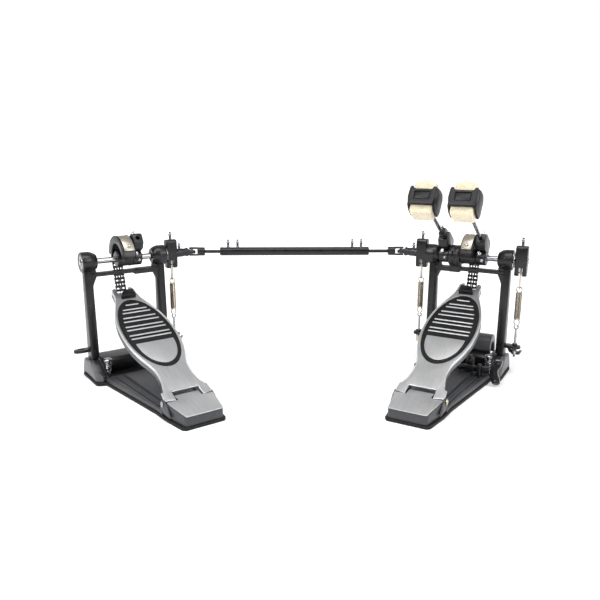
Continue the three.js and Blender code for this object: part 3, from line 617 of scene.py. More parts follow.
def footboard(side):
    S = side + "_"
    body = S + "footboard"
    BOARD = board(side); SL = SLOPES[side]
    line = smooth_line([(b, a) for a, b in HALF], 4)
    right = line[:]
    # outline with the hinge notch and the chain slot
    out = [(22, 18.7), (22, 0.2)] + [p for p in right if p[1] > 0.05] + [(11.6, 294.5), (11.6, 277), (-11.6, 277), (-11.6, 294.5)] + \
          [(-p[0], p[1]) for p in reversed(right) if p[1] > 0.05] + [(-22, 0.2), (-22, 18.7)]
    out = out if area2(out) > 0 else out[::-1]
    radii = []
    for p in out:
        r = 0
        if abs(abs(p[0]) - 22) < 0.01: r = 1.2
        if abs(abs(p[0]) - 11.6) < 0.01: r = 2.2 if p[1] < 280 else 1.4
        radii.append(r)
    out = fillet(out, radii, n=3)
    bm = new()
    top = prism(out, -4.2, 0, bevel=0.8, holes=[oval(0.2)], seg=4, bottom=0.4)
    join(bm, top)
    # bead along the edge of the tread, in a lighter copy of the brushed aluminium: painted highlight of the rounded
    # edge catching the light
    eo = [(p[0] + 0.05, p[1]) for p in line if 26 <= p[1] <= 290]; ei = [(p[0] - 1.7, p[1]) for p in reversed(eo)]
    put(both(prism(eo + ei, -1.5, 0.5, bevel=0.7, seg=4, bottom=0.2)), S + "footboard_edge", "rib_" + side, side, body, (), BOARD, sharp=50)
    # rim skirt: wall below the tread, coloured with a darker copy of the brushed aluminium as painted shade
    body_out = [p for p in line if 21 <= p[1] <= 294.5]
    ro = [(p[0] - 0.25, p[1]) for p in body_out]; ri = [(p[0] - 3.8, p[1]) for p in body_out]
    sk = ro[:] + [(12.2, 294.3), (12.2, 276.5)] + [(max(p[0], 12.2) if p[1] > 262 else p[0], p[1]) for p in reversed(ri) if p[1] < 276]
    wall = both(prism(sk, -12.9, -0.9, bevel=0.3, seg=2, bottom=0.8))
    join(wall, prism(fillet([(-20, 262), (20, 262), (20, 277), (-20, 277)], 1), -12.5, -3, bevel=0.5))
    put(wall, S + "footboard_skirt", "skirt_" + side, side, body, (), BOARD, sharp=38)
    # floor of the recess
    join(bm, prism(oval(2.5), -4.0, -1.5, bevel=0.0, seg=1))
    # ribs and heel-end field
    for s in RIBS:
        w = max(4, oval_half(s) - (8 if s > 240 else 5.2))
        rib = [(-w, s - 1.5), (w, s - 1.5), (w, s + 1.5), (-w, s + 1.5)]
        join(bm, prism(fillet(rib, 1.45, n=5), -1.9, 1.2, bevel=0.9, seg=3, bottom=0))
    join(bm, prism(fillet(field(0), 0.8, n=2), -1.9, 0.3, bevel=0.5, seg=3, bottom=0))
    # hinge knuckles
    ps = (PIN_Y - HINGE_Y) * math.cos(SL) + (PIN_Z - HINGE_Z) * math.sin(SL)
    pn = -(PIN_Y - HINGE_Y) * math.sin(SL) + (PIN_Z - HINGE_Z) * math.cos(SL)
    kn = lathe([(23, 0), (23, 4.6), (23.4, 5), (37.2, 5), (37.6, 4.6), (37.6, 0)], 32, "X", (0, ps, pn))
    join(kn, prismX(fillet([(ps - 3, pn), (ps + 15, -3.8), (ps + 15, -0.8), (ps - 4, -0.8)], 0.6), 23, 37.6, bevel=0.4))
    join(bm, both(kn))
    join(bm, rod((-12.4, 288, -7.6), (12.4, 288, -7.6), 1.8, 20))
    put(bm, S + "footboard_shell", "alu_" + side, side, body, [S + "footboard"], BOARD, sharp=38)
    # rubber inlay with a raised lip
    pad = prism(oval(-0.15), -1.4, 0.15, bevel=0.3, seg=2, bottom=0)
    lip = prism(oval(-0.3), -1.0, 0.75, bevel=0.5, holes=[oval(-4.0)], seg=3, bottom=0)
    join(pad, lip)
    rimf = prism(field(3.4), -1.0, 0.55, bevel=0.4, holes=[field(0.35)], seg=2, bottom=0)
    join(pad, rimf)
    put(pad, S + "footboard_inlay", "pad", side, body, [S + "pad"], BOARD)
    # chain anchor block: a low cap, slanted on its outer side, with a domed top
    tp = [(-12, 261), (14.5, 261), (14.5, 279), (-1, 279), (-9, 270)]
    if side == "right":
        tp = [(-a, b) for a, b in tp][::-1]
    tp = fillet(tp if area2(tp) > 0 else tp[::-1], 1.6, n=3)
    tb = prism(tp, 0.1, 8.2, bevel=2.4, seg=5, bottom=0)
    put(tb, S + "toe_anchor", "plastic", side, body, [S + "toe_block"], BOARD)
    k = 1 if side == "left" else -1
    sc = moved(pan_screw(2.6, 1.3), Matrix.Translation((k * 5.5, 271, 7.2)))
    put(sc, S + "toe_anchor_screw", "steel", side, body, (), BOARD)


# ------------------------------------------------------------------ base, sole, heel
def base(side):
    S = side + "_"; body = S + "frame"; main = side == "right"
    pl = fillet([(-62, -44), (-62, -56), (-41, -217), (-41, -234), (41, -234), (41, -217), (62, -56), (62, -44)], [1, 4, 6, 1, 1, 6, 4, 1], n=4)
    bm = prism(pl, 4.9, 11.4, bevel=1.0, seg=3)
    # raised side rails and centre panel with grooves between them
    def strip(x0a, x0b, x1a, x1b, ya, yb, z, bev=0.7):
        return prism(fillet([(x0a, ya), (x1a, yb), (x1b, yb), (x0b, ya)], 1.0, n=2), 10.5, z, bevel=bev, seg=3, bottom=0)
    for k in (1, -1):
        join(bm, strip(k * 61, k * 50, k * 40.6, k * 38.6, -58, -214, 12.9))
        join(bm, strip(k * 48, k * 44.6, k * 37.4, k * 34.6, -58, -216, 14.2, 0.9))
    join(bm, strip(-42, 42, -32, 32, -60, -216, 12.2, 0.5))
    join(bm, strip(-34, 34, -26.5, 26.5, -62, -214, 16.8, 1.2))
    put(bm, S + "base_plate", "grey", side, body, [S + "base"])
    # heel block with rounded rear corners, open hinge side lugs and knuckle
    plan = fillet([(-38.8, -229), (-38.4, -247), (-30.6, -294.2), (30.6, -294.2), (38.4, -247), (38.8, -229)], [0.5, 8, 5, 5, 8, 0.5], n=5)
    k = math.tan(math.atan2(HINGE_Z - 21.4, 48.7))
    hb = prism(plan, 4.9, 26.0, bevel=1.2, seg=3)
    for v in hb.verts:
        if v.co.z > 14:
            topz = HINGE_Z - 1.4 + (v.co.y - HINGE_Y) * k if v.co.y < -247.2 else 16.8
            v.co.z = topz - (26.0 - v.co.z)
        elif v.co.z > 5.5:
            pass
    put(hb, S + "heel_block", "grey", side, body)
    lug = fillet([(-264, 9), (-226, 9), (-227, 20), (-231, 27.6), (-241, 29.4), (-251, 24.2)], [1, 2, 2, 4, 4, 3], n=4)
    lg = both(prismX(lug, 38.0, 40.4, bevel=0.6, seg=2))
    put(lg, S + "hinge_lugs", "grey", side, body)
    kn = lathe([(-21.2, 0), (-21.2, 4.7), (-20.7, 5.2), (20.7, 5.2), (21.2, 4.7), (21.2, 0)], 32, "X", (0, PIN_Y, PIN_Z))
    for v in kn.verts:
        if v.co.z > 25.6 and v.co.y < -238.3: v.co.z = 25.6
    join(kn, prismX([(-252, 15), (-236, 15), (-233, 21), (-238.4, 25), (-252, 24.4)], -21, 21, bevel=0.4))
    put(kn, S + "hinge_knuckle", "black", side, body)
    # toe feet: skirts flaring from the posts to the sole
    ft = fillet([(-49, 4.9), (27, 4.9), (27, 14), (17.5, 33.4), (-14, 33.4), (-23, 28.6), (-34, 19), (-49, 13)], [0.6, 0.6, 6, 5, 5, 10, 14, 4], n=5)
    fb = prismX(ft, 59.6, 77.4, bevel=3.2, seg=5)
    # round the front outer corner in plan
    for xx in (62.4, 65.0, 67.5, 69.8, 71.8, 73.4, 74.8, 76.0):
        bmesh.ops.bisect_plane(fb, geom=fb.verts[:] + fb.edges[:] + fb.faces[:], plane_co=(xx, 0, 0), plane_no=(1, 0, 0))
    for v in fb.verts:
        if v.co.x > 62.4:
            v.co.y = max(v.co.y, -34.2 - math.sqrt(max(0.0, 225 - (v.co.x - 62.4) ** 2)))
    put(both(fb), S + "toe_feet", "foot", side, body)
    put(both(prismX([(p_[0], p_[1] - 0.05 if p_[1] > 6 else p_[1]) for p_ in ft], 54.9, 60.0, bevel=0.8, seg=2)), S + "toe_cheeks", "black", side, body)
    fl = fillet([(-49.3, 4.95), (27.8, 4.95), (27.8, 15), (18.4, 34.4), (-14.4, 34.4), (-24, 29.6), (-35.4, 19.8), (-49.3, 13.6)], [0.6, 0.6, 6, 3, 3, 10, 14, 4], n=5)
    wd = prismX(fl, 59.4, 66.0, bevel=1.4, seg=3)
    for v in wd.verts:
        if v.co.x > 62: v.co.x += max(0.0, (v.co.z - 6) * 0.16)
    put(both(wd), S + "post_flare", "black", side, body, sharp=40)
    top = 34 if main else 36
    cb = prismX(fillet([(-27, 4.9), (24, 4.9), (24, top - 3), (21, top), (-19, top), (-24.5, top - 5)], [0.5, 0.5, 2, 3, 4, 3], n=4), -55.2, 55.2, bevel=0.8, seg=2)
    join(cb, box(-57, 57, -46, -24, 4.9, 12.4, bevel=1.2))
    if main:
        cut1 = prismX([(-8, 20), (30, 20), (30, 60), (-8, 60)], -50, 50, bevel=0)
        cb = boolean(cb, [cut1])
        join(cb, box(-48, 48, -8, 44, 8, 13, bevel=0.8))
    else:
        # shallow window and ribs on the drummer's face
        join(cb, box(-50, 50, -28.2, -26.2, 14, 33, bevel=0.8))
    put(cb, S + "cross_box", "black", side, body)
    # spur bosses
    sb = lathe([(5, 4.4), (5, 8), (12.2, 8), (13, 7.2), (13, 4.4), (5, 4.4)], 36, "Z", (52.5, -34, 0))
    put(both(sb), S + "spur_bosses", "black", side, body)
    # sole
    so = fillet([(-79, -50), (-79, 28.5), (79, 28.5), (79, -50), (64, -56), (43.2, -216), (41.8, -246), (35.4, -291), (31, -296), (-31, -296), (-35.4, -291), (-41.8, -246), (-43.2, -216), (-64, -56)],
                [13, 8, 8, 13, 5, 5, 8, 3, 3, 3, 3, 8, 5, 5], n=6)
    sm = prism(so, 0, 4.7, bevel=1.3, seg=4, bottom=0.5)
    put(sm, S + "rubber_sole", "rubber", side, body, [S + "sole"])
    # heel plate: thin plate with a tongue rolled down over the hinge
    hp = fillet([(-37.6, -0.4), (-37.5, -3), (-29.6, -48.7), (29.6, -48.7), (37.5, -3), (37.6, -0.4), (19.4, -0.4), (19.4, 13.4), (-19.4, 13.4), (-19.4, -0.4)],
                [0.4, 2, 3, 3, 2, 0.4, 0.5, 0.8, 0.8, 0.5], n=4)
    tilt = math.atan2(HINGE_Z - 21.4, 48.7)
    pm = prism(hp, -1.3, 0, bevel=0.3, seg=2, bottom=0.2)
    put(pm, S + "heel_cover", "alu_" + side, side, body, [S + "heel_plate"], Matrix.Translation((0, HINGE_Y, HINGE_Z)) @ Matrix.Rotation(tilt, 4, "X"), sharp=38)
    pin = lathe([(-42.8, 0), (-42.8, 2.4), (-41.9, 4.3), (-40.8, 4.3), (-40.8, 2.5), (40.8, 2.5), (40.8, 4.3), (41.9, 4.3), (42.8, 2.4), (42.8, 0)], 28, "X", (0, PIN_Y, PIN_Z))
    put(pin, S + "heel_pin", "brass" if main else "chrome", side, body, [S + "hinge_pin"])


# ------------------------------------------------------------------ posts, hubs, bearings
def posts(side):
    S = side + "_"; body = S + "frame"; main = side == "right"
    bm = new()
    w = [(-7, Z - 2), (7, Z - 2), (12, 34), (-10.5, 34)]
    po = prismX(fillet(w, 2, n=3), 60, 72, bevel=2.2, seg=4)
    join(bm, both(po))
    # inner flange along each post
    fl = prismX(fillet([(-4, Z - 24), (4.5, Z - 24), (9, 36), (-7, 36)], 1.5, n=3), 57.2, 62, bevel=1.2, seg=3)
    join(bm, both(fl))
    x0 = 77 if main else 75
    x1 = 55 if main else 50
    hubL = [(-x0, 11.2), (-x0, HUBR - 1.2), (-x0 + 1.2, HUBR), (-x0 + 13, HUBR), (-x0 + 19, 16.2), (-x1 + 0.6, 12.6), (-x1, 11.6), (-x1, 5.9), (-x0 + 4, 5.9), (-x0 + 4, 11.2), (-x0, 11.2)]
    hubR = [(75, 11.2), (75, HUBR - 1.2), (73.8, HUBR), (62, HUBR), (56, 16.2), (50.6, 12.6), (50, 11.6), (50, 5.9), (71, 5.9), (71, 11.2), (75, 11.2)]
    join(bm, lathe(hubL, 64, "X", (0, 0, Z), r=0.8, n=3)); join(bm, lathe(hubR, 64, "X", (0, 0, Z), r=0.8, n=3))
    # brace and its curved gussets
    join(bm, prismX(fillet([(-6, 178.7), (6, 178.7), (6, 185.7), (-6, 185.7)], 1.6, n=3), -61, 61, bevel=0.4))
    g = [(61, 150), (61, 197), (52, 197), (50.4, 186)] + [(61 - 11.5 * (1 - math.cos(math.radians(t))) ** 1.0 * 0 - 10.6 * math.sin(math.radians(t)) ** 1.5, 178.5 - 28 * (1 - math.sin(math.radians(t)) ** 1.2)) for t in (80, 60, 40, 20, 5)]
    gg = moved(prism(fillet(g, 0.8, n=2), -4.5, 4.5, bevel=1.2, seg=3), Matrix(((1, 0, 0, 0), (0, 0, 1, 0), (0, 1, 0, 0), (0, 0, 0, 1))))
    bmesh.ops.recalc_face_normals(gg, faces=gg.faces[:])
    join(bm, both(gg))
    if main:
        join(bm, lathe([(-35.2, 0), (-35.2, 17.4), (-33.6, 19.2), (-27, 19.2), (-26.4, 18.4), (-24, 18.4), (-23.4, 19.2), (-17, 19.2), (-15.2, 17.4), (-15.2, 0)], 64, "X", (0, 0, Z), r=0.7))
        join(bm, box(-34.6, -15.8, -7.6, 7.6, 175.8, 192, bevel=1.4))
        join(bm, box(-58, -15.8, -6.8, 6.8, 176.2, 181, bevel=1.2))
    else:
        join(bm, box(16, 61, -6.8, 6.8, 176, 185.9, bevel=1.3))
    # spring lugs
    lug = fillet([(70, -7), (86, -8), (96, -6), (99, 0), (96, 6), (86, 8), (70, 7)], [0.5, 3, 4, 4, 4, 3, 0.5], n=4)
    slotp = fillet([(80, -2.6), (92, -2.6), (92, 2.6), (80, 2.6)], 2.5, n=5)
    used = prism(lug, LUG_Z - 2.5, LUG_Z + 2.5, bevel=0.7, seg=3)
    free = prism([(-p[0], p[1]) for p in lug], LUG_Z - 2.5, LUG_Z + 2.5, bevel=0.7, seg=3, holes=() if main else [[(-p[0], p[1]) for p in slotp]])
    join(bm, used); join(bm, free)
    put(bm, S + "post_frame", "black", side, body, [S + "posts"], sharp=34)
    # bearings: outer race, seal, inner race
    def bearing(x, k, nm, rep=()):
        r = lathe([(0, 10.9), (0, 8.9), (-0.5, 8.5), (-0.5, 7.6), (0, 7.3), (0.2, 5.6), (-4, 5.6), (-4, 10.9), (0, 10.9)], 56, "X", (0, 0, 0), r=0.25)
        m = Matrix.Translation((x, 0, Z)) @ Matrix.Scale(k, 4, Vector((1, 0, 0)))
        moved(r, m)
        if k < 0: bmesh.ops.reverse_faces(r, faces=r.faces[:])
        put(r, S + nm, "chrome", side, body, rep)
        s = lathe([(-0.75, 8.8), (-0.75, 7.4), (-1.6, 7.4), (-1.6, 8.8), (-0.75, 8.8)], 48, "X")
        moved(s, m)
        if k < 0: bmesh.ops.reverse_faces(s, faces=s.faces[:])
        put(s, S + nm + "_seal", "rubber", side, body)
    bearing(74.6 if main else -74.6, 1 if main else -1, "outer_bearing", [S + "bearing"])
    bearing(-76.6 if main else 74.6, -1 if main else 1, "inner_bearing")
    ir = lathe([(0, 11.6), (0, 6.4), (-0.9, 6.0), (-1.4, 11.6), (0, 11.6)], 56, "X")
    put(moved(ir, Matrix.Translation((50.3, 0, Z)) @ Matrix.Scale(-1, 4, Vector((1, 0, 0)))), S + "hub_ring", "chrome", side, body)


HUBR = 17.7


# ------------------------------------------------------------------ rotor: axle, cam, chain, clamp, spring lever, yoke
def chain_plate(p0, p1, x, w=5.2, t=1.1):
    """one figure-eight side plate between two pins in the yz plane at x"""
    p0, p1 = Vector(p0), Vector(p1)
    d = (p1 - p0); L = d.length; a = math.atan2(d.y, d.x)
    pts = []
    r = w / 2
    for i in range(9):
        t0 = math.pi / 2 + math.pi * i / 8
        pts.append((r * math.cos(t0), r * math.sin(t0)))
    pts.append((L / 2, -r * 0.72))
    for i in range(9):
        t0 = -math.pi / 2 + math.pi * i / 8
        pts.append((L + r * math.cos(t0), r * math.sin(t0)))
    pts.append((L / 2, r * 0.72))
    bm = prism(pts, x - t / 2, x + t / 2, bevel=0.25, seg=1)
    return moved(moved(bm, Matrix.Rotation(a, 4, "Z")), AX["X"] @ Matrix.Translation((p0.x, p0.y, 0)))


def chain_links(pins, start=0):
    """double-row roller chain through pin positions (y, z)"""
    bm = new()
    for i, p in enumerate(pins):
        for xa, xb in ((-7.0, -1.0), (1.0, 7.0)):
            join(bm, lathe([(xa, 0), (xa, 1.9), (xa + 0.3, 2.15), (xb - 0.3, 2.15), (xb, 1.9), (xb, 0)], 16, "X", (0, p[0], p[1])))
        join(bm, lathe([(-9.3, 0), (-9.3, 0.9), (-9.0, 1.2), (9.0, 1.2), (9.3, 0.9), (9.3, 0)], 12, "X", (0, p[0], p[1])))
    for i in range(len(pins) - 1):
        o = (i + start) % 2
        for x in ((-8.3, -1.5, 1.5, 8.3) if o else (-6.9, -2.5, 2.5, 6.9)):
            join(bm, chain_plate(pins[i], pins[i + 1], x, 5.8, 1.5))
    return bm


def clamp_block(x0, x1, xr, side, body, nm, rep, empty):
    c = lathe([(x0, 0), (x0, 12.2), (x0 + 1.0, 13.4), (x1 - 1.0, 13.4), (x1, 12.2), (x1, 0)], 56, "X", (0, 0, Z))
    b = moved(prismX(fillet([(6, -6), (30, -6), (33, 1), (33, 28), (29, 35), (13, 35), (5, 25)], [1, 4, 3, 3, 3, 3, 4], n=4), x0, x1, bevel=1.3, seg=3), RODM(0))
    hole = moved(rod((xr, ROD_S, -40), (xr, ROD_S, 60), 3.55 if not empty else 3.7, 28, 0), RODM(0))
    b = boolean(b, [hole])
    # collar that grips the rod above the block
    if nm.startswith("slave"):
        tall = moved(prismX(fillet([(ROD_S - 2, 31), (31.5, 31), (31.5, 46), (28, 54), (ROD_S + 3, 54), (ROD_S - 2, 48)], [0.5, 0.5, 4, 3, 3, 3], n=4), x0 + 4, x1 - 3, bevel=1.2, seg=3), RODM(0))
        join(b, boolean(tall, [moved(rod((xr, ROD_S, -40), (xr, ROD_S, 80), 3.7, 28, 0), RODM(0))]))
        put(moved(key_screw(7.5, 2.0, 3.0), RODM(0) @ Matrix.Translation((xr + 1, ROD_S + 7, 53.6))), nm + "_top_screw", "chrome", side, body)
        join(b, moved(lathe([(33, 3.6), (33, 6.6), (37.6, 6.6), (38.4, 4.9), (41.2, 4.9), (42.0, 6.2), (46.4, 6.2), (47.6, 5.0), (47.6, 3.6), (33, 3.6)], 36, "Z", (xr, ROD_S, 0), r=0.4), RODM(0)))
    join(b, c)
    ax = rod((x0 - 2, 0, Z), (x1 + 2, 0, Z), 5.2, 24, 0)
    put(b, nm, "black", side, body, rep, sharp=34)
    # clamp screws
    face = RODM(0)
    s1 = moved(key_screw(8.5, 2.3, 3.4), face @ Matrix.Translation((xr, 32.6, 20)) @ Matrix.Rotation(-math.pi / 2, 4, "X"))
    put(s1, nm + "_rod_screw", "chrome", side, body)
    s2 = moved(pan_screw(4.0, 3.4), Matrix.Translation((xr - 2, -12.6, Z + 9)) @ Matrix.Rotation(math.radians(62), 4, "X"))
    put(s2, nm + "_hub_screw", "chrome", side, body)
    s3 = moved(pan_screw(3.0, 2.6), Matrix.Translation((xr + 3, -13.0, Z - 3)) @ Matrix.Rotation(math.radians(95), 4, "X"))
    put(s3, nm + "_hub_screw_low", "chrome", side, body)


def lever(k, side, body, nm, rep):
    x0, x1 = LEVER_X - 10, LEVER_X + 10
    prof = fillet([(-7, Z - 23), (-5, Z - 26.2), (5, Z - 26.2), (7, Z - 23), (7.8, Z), (7, Z + 22.6), (4.6, Z + 26), (-4.6, Z + 26), (-7, Z + 22.6), (-7.8, Z)], [4, 3, 3, 4, 10, 4, 3, 3, 4, 10], n=4)
    b = prismX(prof, x0, x1, bevel=1.6, seg=4)
    b = boolean(b, [box(LEVER_X - 3.4, LEVER_X + 3.4, -12, 12, Z - 40, Z - 11, bevel=1.0), rod((x0 - 3, 0, Z), (x1 + 3, 0, Z), 5.3, 32, 0)])
    if k < 0:
        for v in b.verts: v.co.x = -v.co.x
        bmesh.ops.reverse_faces(b, faces=b.faces[:])
    put(b, nm + "_body", "black", side, body, rep, sharp=34)
    # toothed index ring on the hub side and plain ring outside
    n = 32; pts = []
    for i in range(n):
        a = 2 * math.pi * i / n
        for da, r in ((-0.30, 11.2), (-0.12, 12.4), (0.12, 12.4), (0.30, 11.2)):
            pts.append((r * math.cos(a + da * 2 * math.pi / n), r * math.sin(a + da * 2 * math.pi / n)))
    gear = prism(pts, 0, 1.5, bevel=0.25, seg=1, holes=[hexa(5.6, 0, 32)])
    moved(gear, Matrix.Translation((k * (x0 - 1.4) if k > 0 else -(x0 + 0.1), 0, Z)) @ AX["X"])
    put(gear, nm + "_index_ring", "chrome", side, body)
    rg = prism([(a * 0.56, b * 0.56) for a, b in pts], 0, 0.7, bevel=0.15, seg=1, holes=[hexa(5.4, 0, 32)])
    moved(rg, Matrix.Translation((k * (x1 + 0.02) if k > 0 else -(x1 + 0.72), 0, Z)) @ AX["X"])
    put(rg, nm + "_face_ring", "chrome", side, body)
    # cross pin that carries the spring link, and the drum-key screw on top
    pin = rod((k * (x0 - 0.2), 0, Z - 20.5), (k * (x1 + 0.2), 0, Z - 20.5), 1.3, 20)
    put(pin, nm + "_link_pin", "chrome", side, body)
    sc = moved(key_screw(14.5, 2.6, 3.7), Matrix.Translation((k * LEVER_X, 0, Z + 25.8)))
    put(sc, nm + "_screw", "chrome", side, body)


def yoke_mesh(c0, stub):
    """pedal-side joint yoke about the x axis, cross centre at c0"""
    b = lathe([(99.6, 0), (99.6, 7.1), (100.2, 7.7), (111, 7.7), (114.5, 7.0), (117.5, 7.2), (119.5, 8.2), (c0 + 3.7, 8.2), (c0 + 4.3, 7.5), (c0 + 4.3, 0)], 48, "X", (0, 0, Z))
    cuts = [box(c0 - 9.5, c0 + 20, -5.2, 5.2, Z - 20, Z + 20, bevel=0), box(c0 - 8.5, c0 + 20, -20, 20, Z + 3.0, Z + 20, bevel=0), box(c0 - 8.5, c0 + 20, -20, 20, Z - 20, Z - 3.0, bevel=0)]
    b = boolean(b, cuts)
    return soften(b, 0.45)


def rotor(side):
    S = side + "_"; main = side == "right"; body = S + "rotor"
    # axle
    ends = (-33, 100.5) if main else (-76.5, 119)
    ax = lathe([(ends[0], 0), (ends[0], 3.9), (ends[0] + 1.1, 5), (ends[1] - 1.1, 5), (ends[1], 3.9), (ends[1], 0)], 48, "X", (0, 0, Z))
    put(ax, S + "axle_bar", "chrome", side, body, [S + "axle"])
    # cam
    cam = lathe([(-14, 0), (-14, 12.4), (-13, 13.6), (-9.6, 13.6), (-9, 13.0), (7.2, 13.0), (7.8, 13.6), (11, 13.6), (12, 12.4), (12, 0)], 56, "X", (0, 0, Z), r=0.4)
    up = Matrix.Translation((0, 5.5, 0))          # the flanges are set off towards the drum
    rim = prismX(fillet(sector(29.5, 33.4, 6, 178, 44), 0.8, n=2), -10.8, 10.8, bevel=0.7, seg=2)
    for a, b_ in ((9.5, 11), (-11, -9.5)):
        join(rim, moved(prismX(fillet(sector(26.6, 39.7, 6, 178, 48), 1.2, n=2), a, b_, bevel=0.5, seg=2), up))
    # raised outer lip of the near flange, and the bed under the clamp plate
    for a, b_ in ((-11.0, -10.2), (10.2, 11.0)):
        join(rim, moved(prismX(sector(37.0, 39.7, 8, 176, 44), a, b_, bevel=0.3, seg=1), up))
    join(rim, moved(prismX(sector(27.5, 39.2, 104, 168, 18), -10, 10, bevel=0.4, seg=1), up))
    web = prismX(arc(30.8, 14, 172, 36) + [(-12.5, Z + 1), (12.5, Z + 1)], 5.8, 10.6, bevel=0.6, seg=2)
    join(cam, rim); join(cam, web)
    # stiffening rib from hub to rim
    for a in (62, 118):
        ca, sa = math.cos(math.radians(a)), math.sin(math.radians(a))
        join(cam, tube([(4.8, 11 * ca, Z + 11 * sa), (4.8, 31 * ca, Z + 31 * sa)], 1.9, 12))
    put(cam, S + "cam_body", "black", side, body, [S + "drive_cam"], sharp=34)
    plate = moved(prismX(fillet(sector(39.9, 42.0, 105, 155, 24), 0.6, n=2), -9, 9, bevel=0.5, seg=2), up)
    put(plate, S + "cam_clamp_plate", "nickel", side, body, [S + "cam_plate"])
    a = math.radians(143)
    sc = moved(pan_screw(3.6, 1.9), Matrix.Translation((0, 5.5 + 41.8 * math.cos(a), Z + 41.8 * math.sin(a))) @ Matrix.Rotation(a - math.pi / 2, 4, "X"))
    put(sc, S + "cam_plate_screw", "chrome", side, body)
    # chain on the cam
    pitch = math.degrees(7.3 / CHAIN_R)
    pins = []
    t = 2.0
    while t < 98:
        pins.append((CHAIN_R * math.cos(math.radians(t)), Z + CHAIN_R * math.sin(math.radians(t)))); t += pitch
    put(chain_links(pins), S + "cam_chain", "steel", side, body, [S + "chain_wrap"])
    # free stretch
    lo = Vector((23.4, 144.6) if main else (24.8, 143.4)); hi = Vector(pins[0])
    n = round((hi - lo).length / 7.3)
    run = [tuple(hi + (lo - hi) * i / n) for i in range(n + 1)]
    put(chain_links(run, 1), S + "toe_chain", "steel", side, S + "chain", [S + "chain_run"])
    clamp_block(12.4, 29.6, 20.5, side, body, S + "beater_clamp", [S + "clamp"], not main)
    lever(1, side, body, S + "spring_lever", [S + "spring_cam"])
    if main:
        b2 = "slave_rotor"
        y = yoke_mesh(UJ_X, True)
        for v in y.verts: v.co.x = -v.co.x
        bmesh.ops.reverse_faces(y, faces=y.faces[:])
        put(y, "right_joint_yoke", "steel", side, b2, ["right_yoke"], sharp=34)
        st = lathe([(-104, 0), (-104, 5), (-36.4, 5), (-36.4, 0)], 40, "X", (0, 0, Z))
        put(st, "slave_stub_axle", "chrome", side, b2)
        clamp_block(-53.4, -36.2, -44.8, side, b2, "slave_beater_clamp", ["slave_clamp"], False)
        lever(-1, side, b2, "slave_spring_lever", ["slave_spring_cam"])
        sc = moved(key_screw(10.5, 2.4, 3.4), Matrix.Translation((-105.5, 0, Z + 7.4)))
        put(sc, "right_joint_screw", "chrome", side, b2)
    else:
        y = yoke_mesh(UJ_X, False)
        put(y, "left_joint_yoke", "steel", side, body, ["left_yoke"], sharp=34)
        sc = moved(key_screw(10.5, 2.4, 3.4), Matrix.Translation((105.5, 0, Z + 7.4)))
        put(sc, "left_joint_screw", "chrome", side, body)


# ------------------------------------------------------------------ spring, link, eyebolt
def spring(k, side, sbody, fbody, nm, rep, ebolt):
    x = k * LEVER_X
    b = coil(x, 0, 101.5, 149.5, 4.75, 0.82, 32, 18, 6)
    # end loops turned up out of the coil
    for z, s in ((149.5, 1), (101.5, -1)):
        c = (x, 0, z + 5.3 * s)
        pts = [(x + 4.2, 1.6, z - 0.4 * s), (x + 3.6, 0.9, z + 0.7 * s), (x + 2.9, 0.2, z + 1.4 * s)]
        for i in range(20):
            a = s * (-math.pi / 2 + 0.75 + (2 * math.pi - 1.1) * i / 19)
            pts.append((c[0] + 4.7 * math.cos(a), 0, c[2] + 4.7 * math.sin(a)))
        join(b, tube(smooth_line(pts, 2), 0.9, 6))
    put(b, nm + "_coil", "spring", side, sbody, rep)
    # long oval wire link up to the lever pin
    pts = []
    for i in range(25):
        a = math.pi * i / 24
        pts.append((x, 3.4 * math.cos(a), 191.5 + 3.2 * math.sin(a)))
    for i in range(25):
        a = math.pi + math.pi * i / 24
        pts.append((x, 2.7 * math.cos(a), 159.5 + 2.7 * math.sin(a)))
    put(tube(pts, 1.05, 8, True), nm + "_link", "spring", side, sbody)
    # eyebolt
    e = ring3((x, 0, EYE_Z - 0.6), 3.4, 1.15, "Y" if k else "X", 28, 8)
    prof = [(33, 0), (33, 1.6), (33.6, 2.0)]
    z = 34.0
    while z < 74:
        prof += [(z, 2.0), (z + 0.4, 1.65), (z + 0.8, 2.0)]; z += 0.85
    prof += [(76, 2.0), (77, 1.75), (EYE_Z - 4.2, 1.75), (EYE_Z - 4.2, 0)]
    join(e, lathe(prof, 18, "Z", (x, 0, 0)))
    put(e, nm + "_eyebolt", "chrome", side, fbody, [ebolt])
    put(moved(nut(4.6, 3.4), Matrix.Translation((x, 0, LUG_Z + 2.7))), nm + "_lock_nut", "steel" if k > 0 else "steel", side, fbody)
    if ebolt.startswith("slave"):
        put(lathe([(35.2, 0), (35.2, 4.0), (36.2, 4.9), (47.4, 4.9), (48.6, 4.2), (48.6, 0)], 32, "Z", (x, 0, 0), r=0.3), nm + "_round_nut", "spring", side, fbody)
        put(lathe([(53.9, 0), (53.9, 6.4), (56.6, 6.4), (57.4, 5.6), (57.4, 0)], 32, "Z", (x, 0, 0), r=0.4), nm + "_washer_nut", "black", side, fbody)
    else:
        w = lathe([(38, 0), (38, 4.4), (39, 5.0), (44, 4.6), (48.6, 3.8), (48.6, 0)], 32, "Z", (x, 0, 0), r=0.4)
        for s in (1, -1):
            prof = fillet([(s * 2, 38), (s * 11, 39.4), (s * 15.4, 46.4), (s * 15.2, 49), (s * 13, 49.6), (s * 9, 45.6), (s * 2, 44.6)], [0.5, 3, 1.6, 1.0, 1.6, 3, 0.5], n=4)
            join(w, moved(prismX(prof, -1.6, 1.6, bevel=0.9, seg=3), Matrix.Translation((x, 0, 0)) @ Matrix.Rotation(math.radians(62), 4, "Z")))
        put(w, nm + "_wing_nut", "chrome", side, fbody)


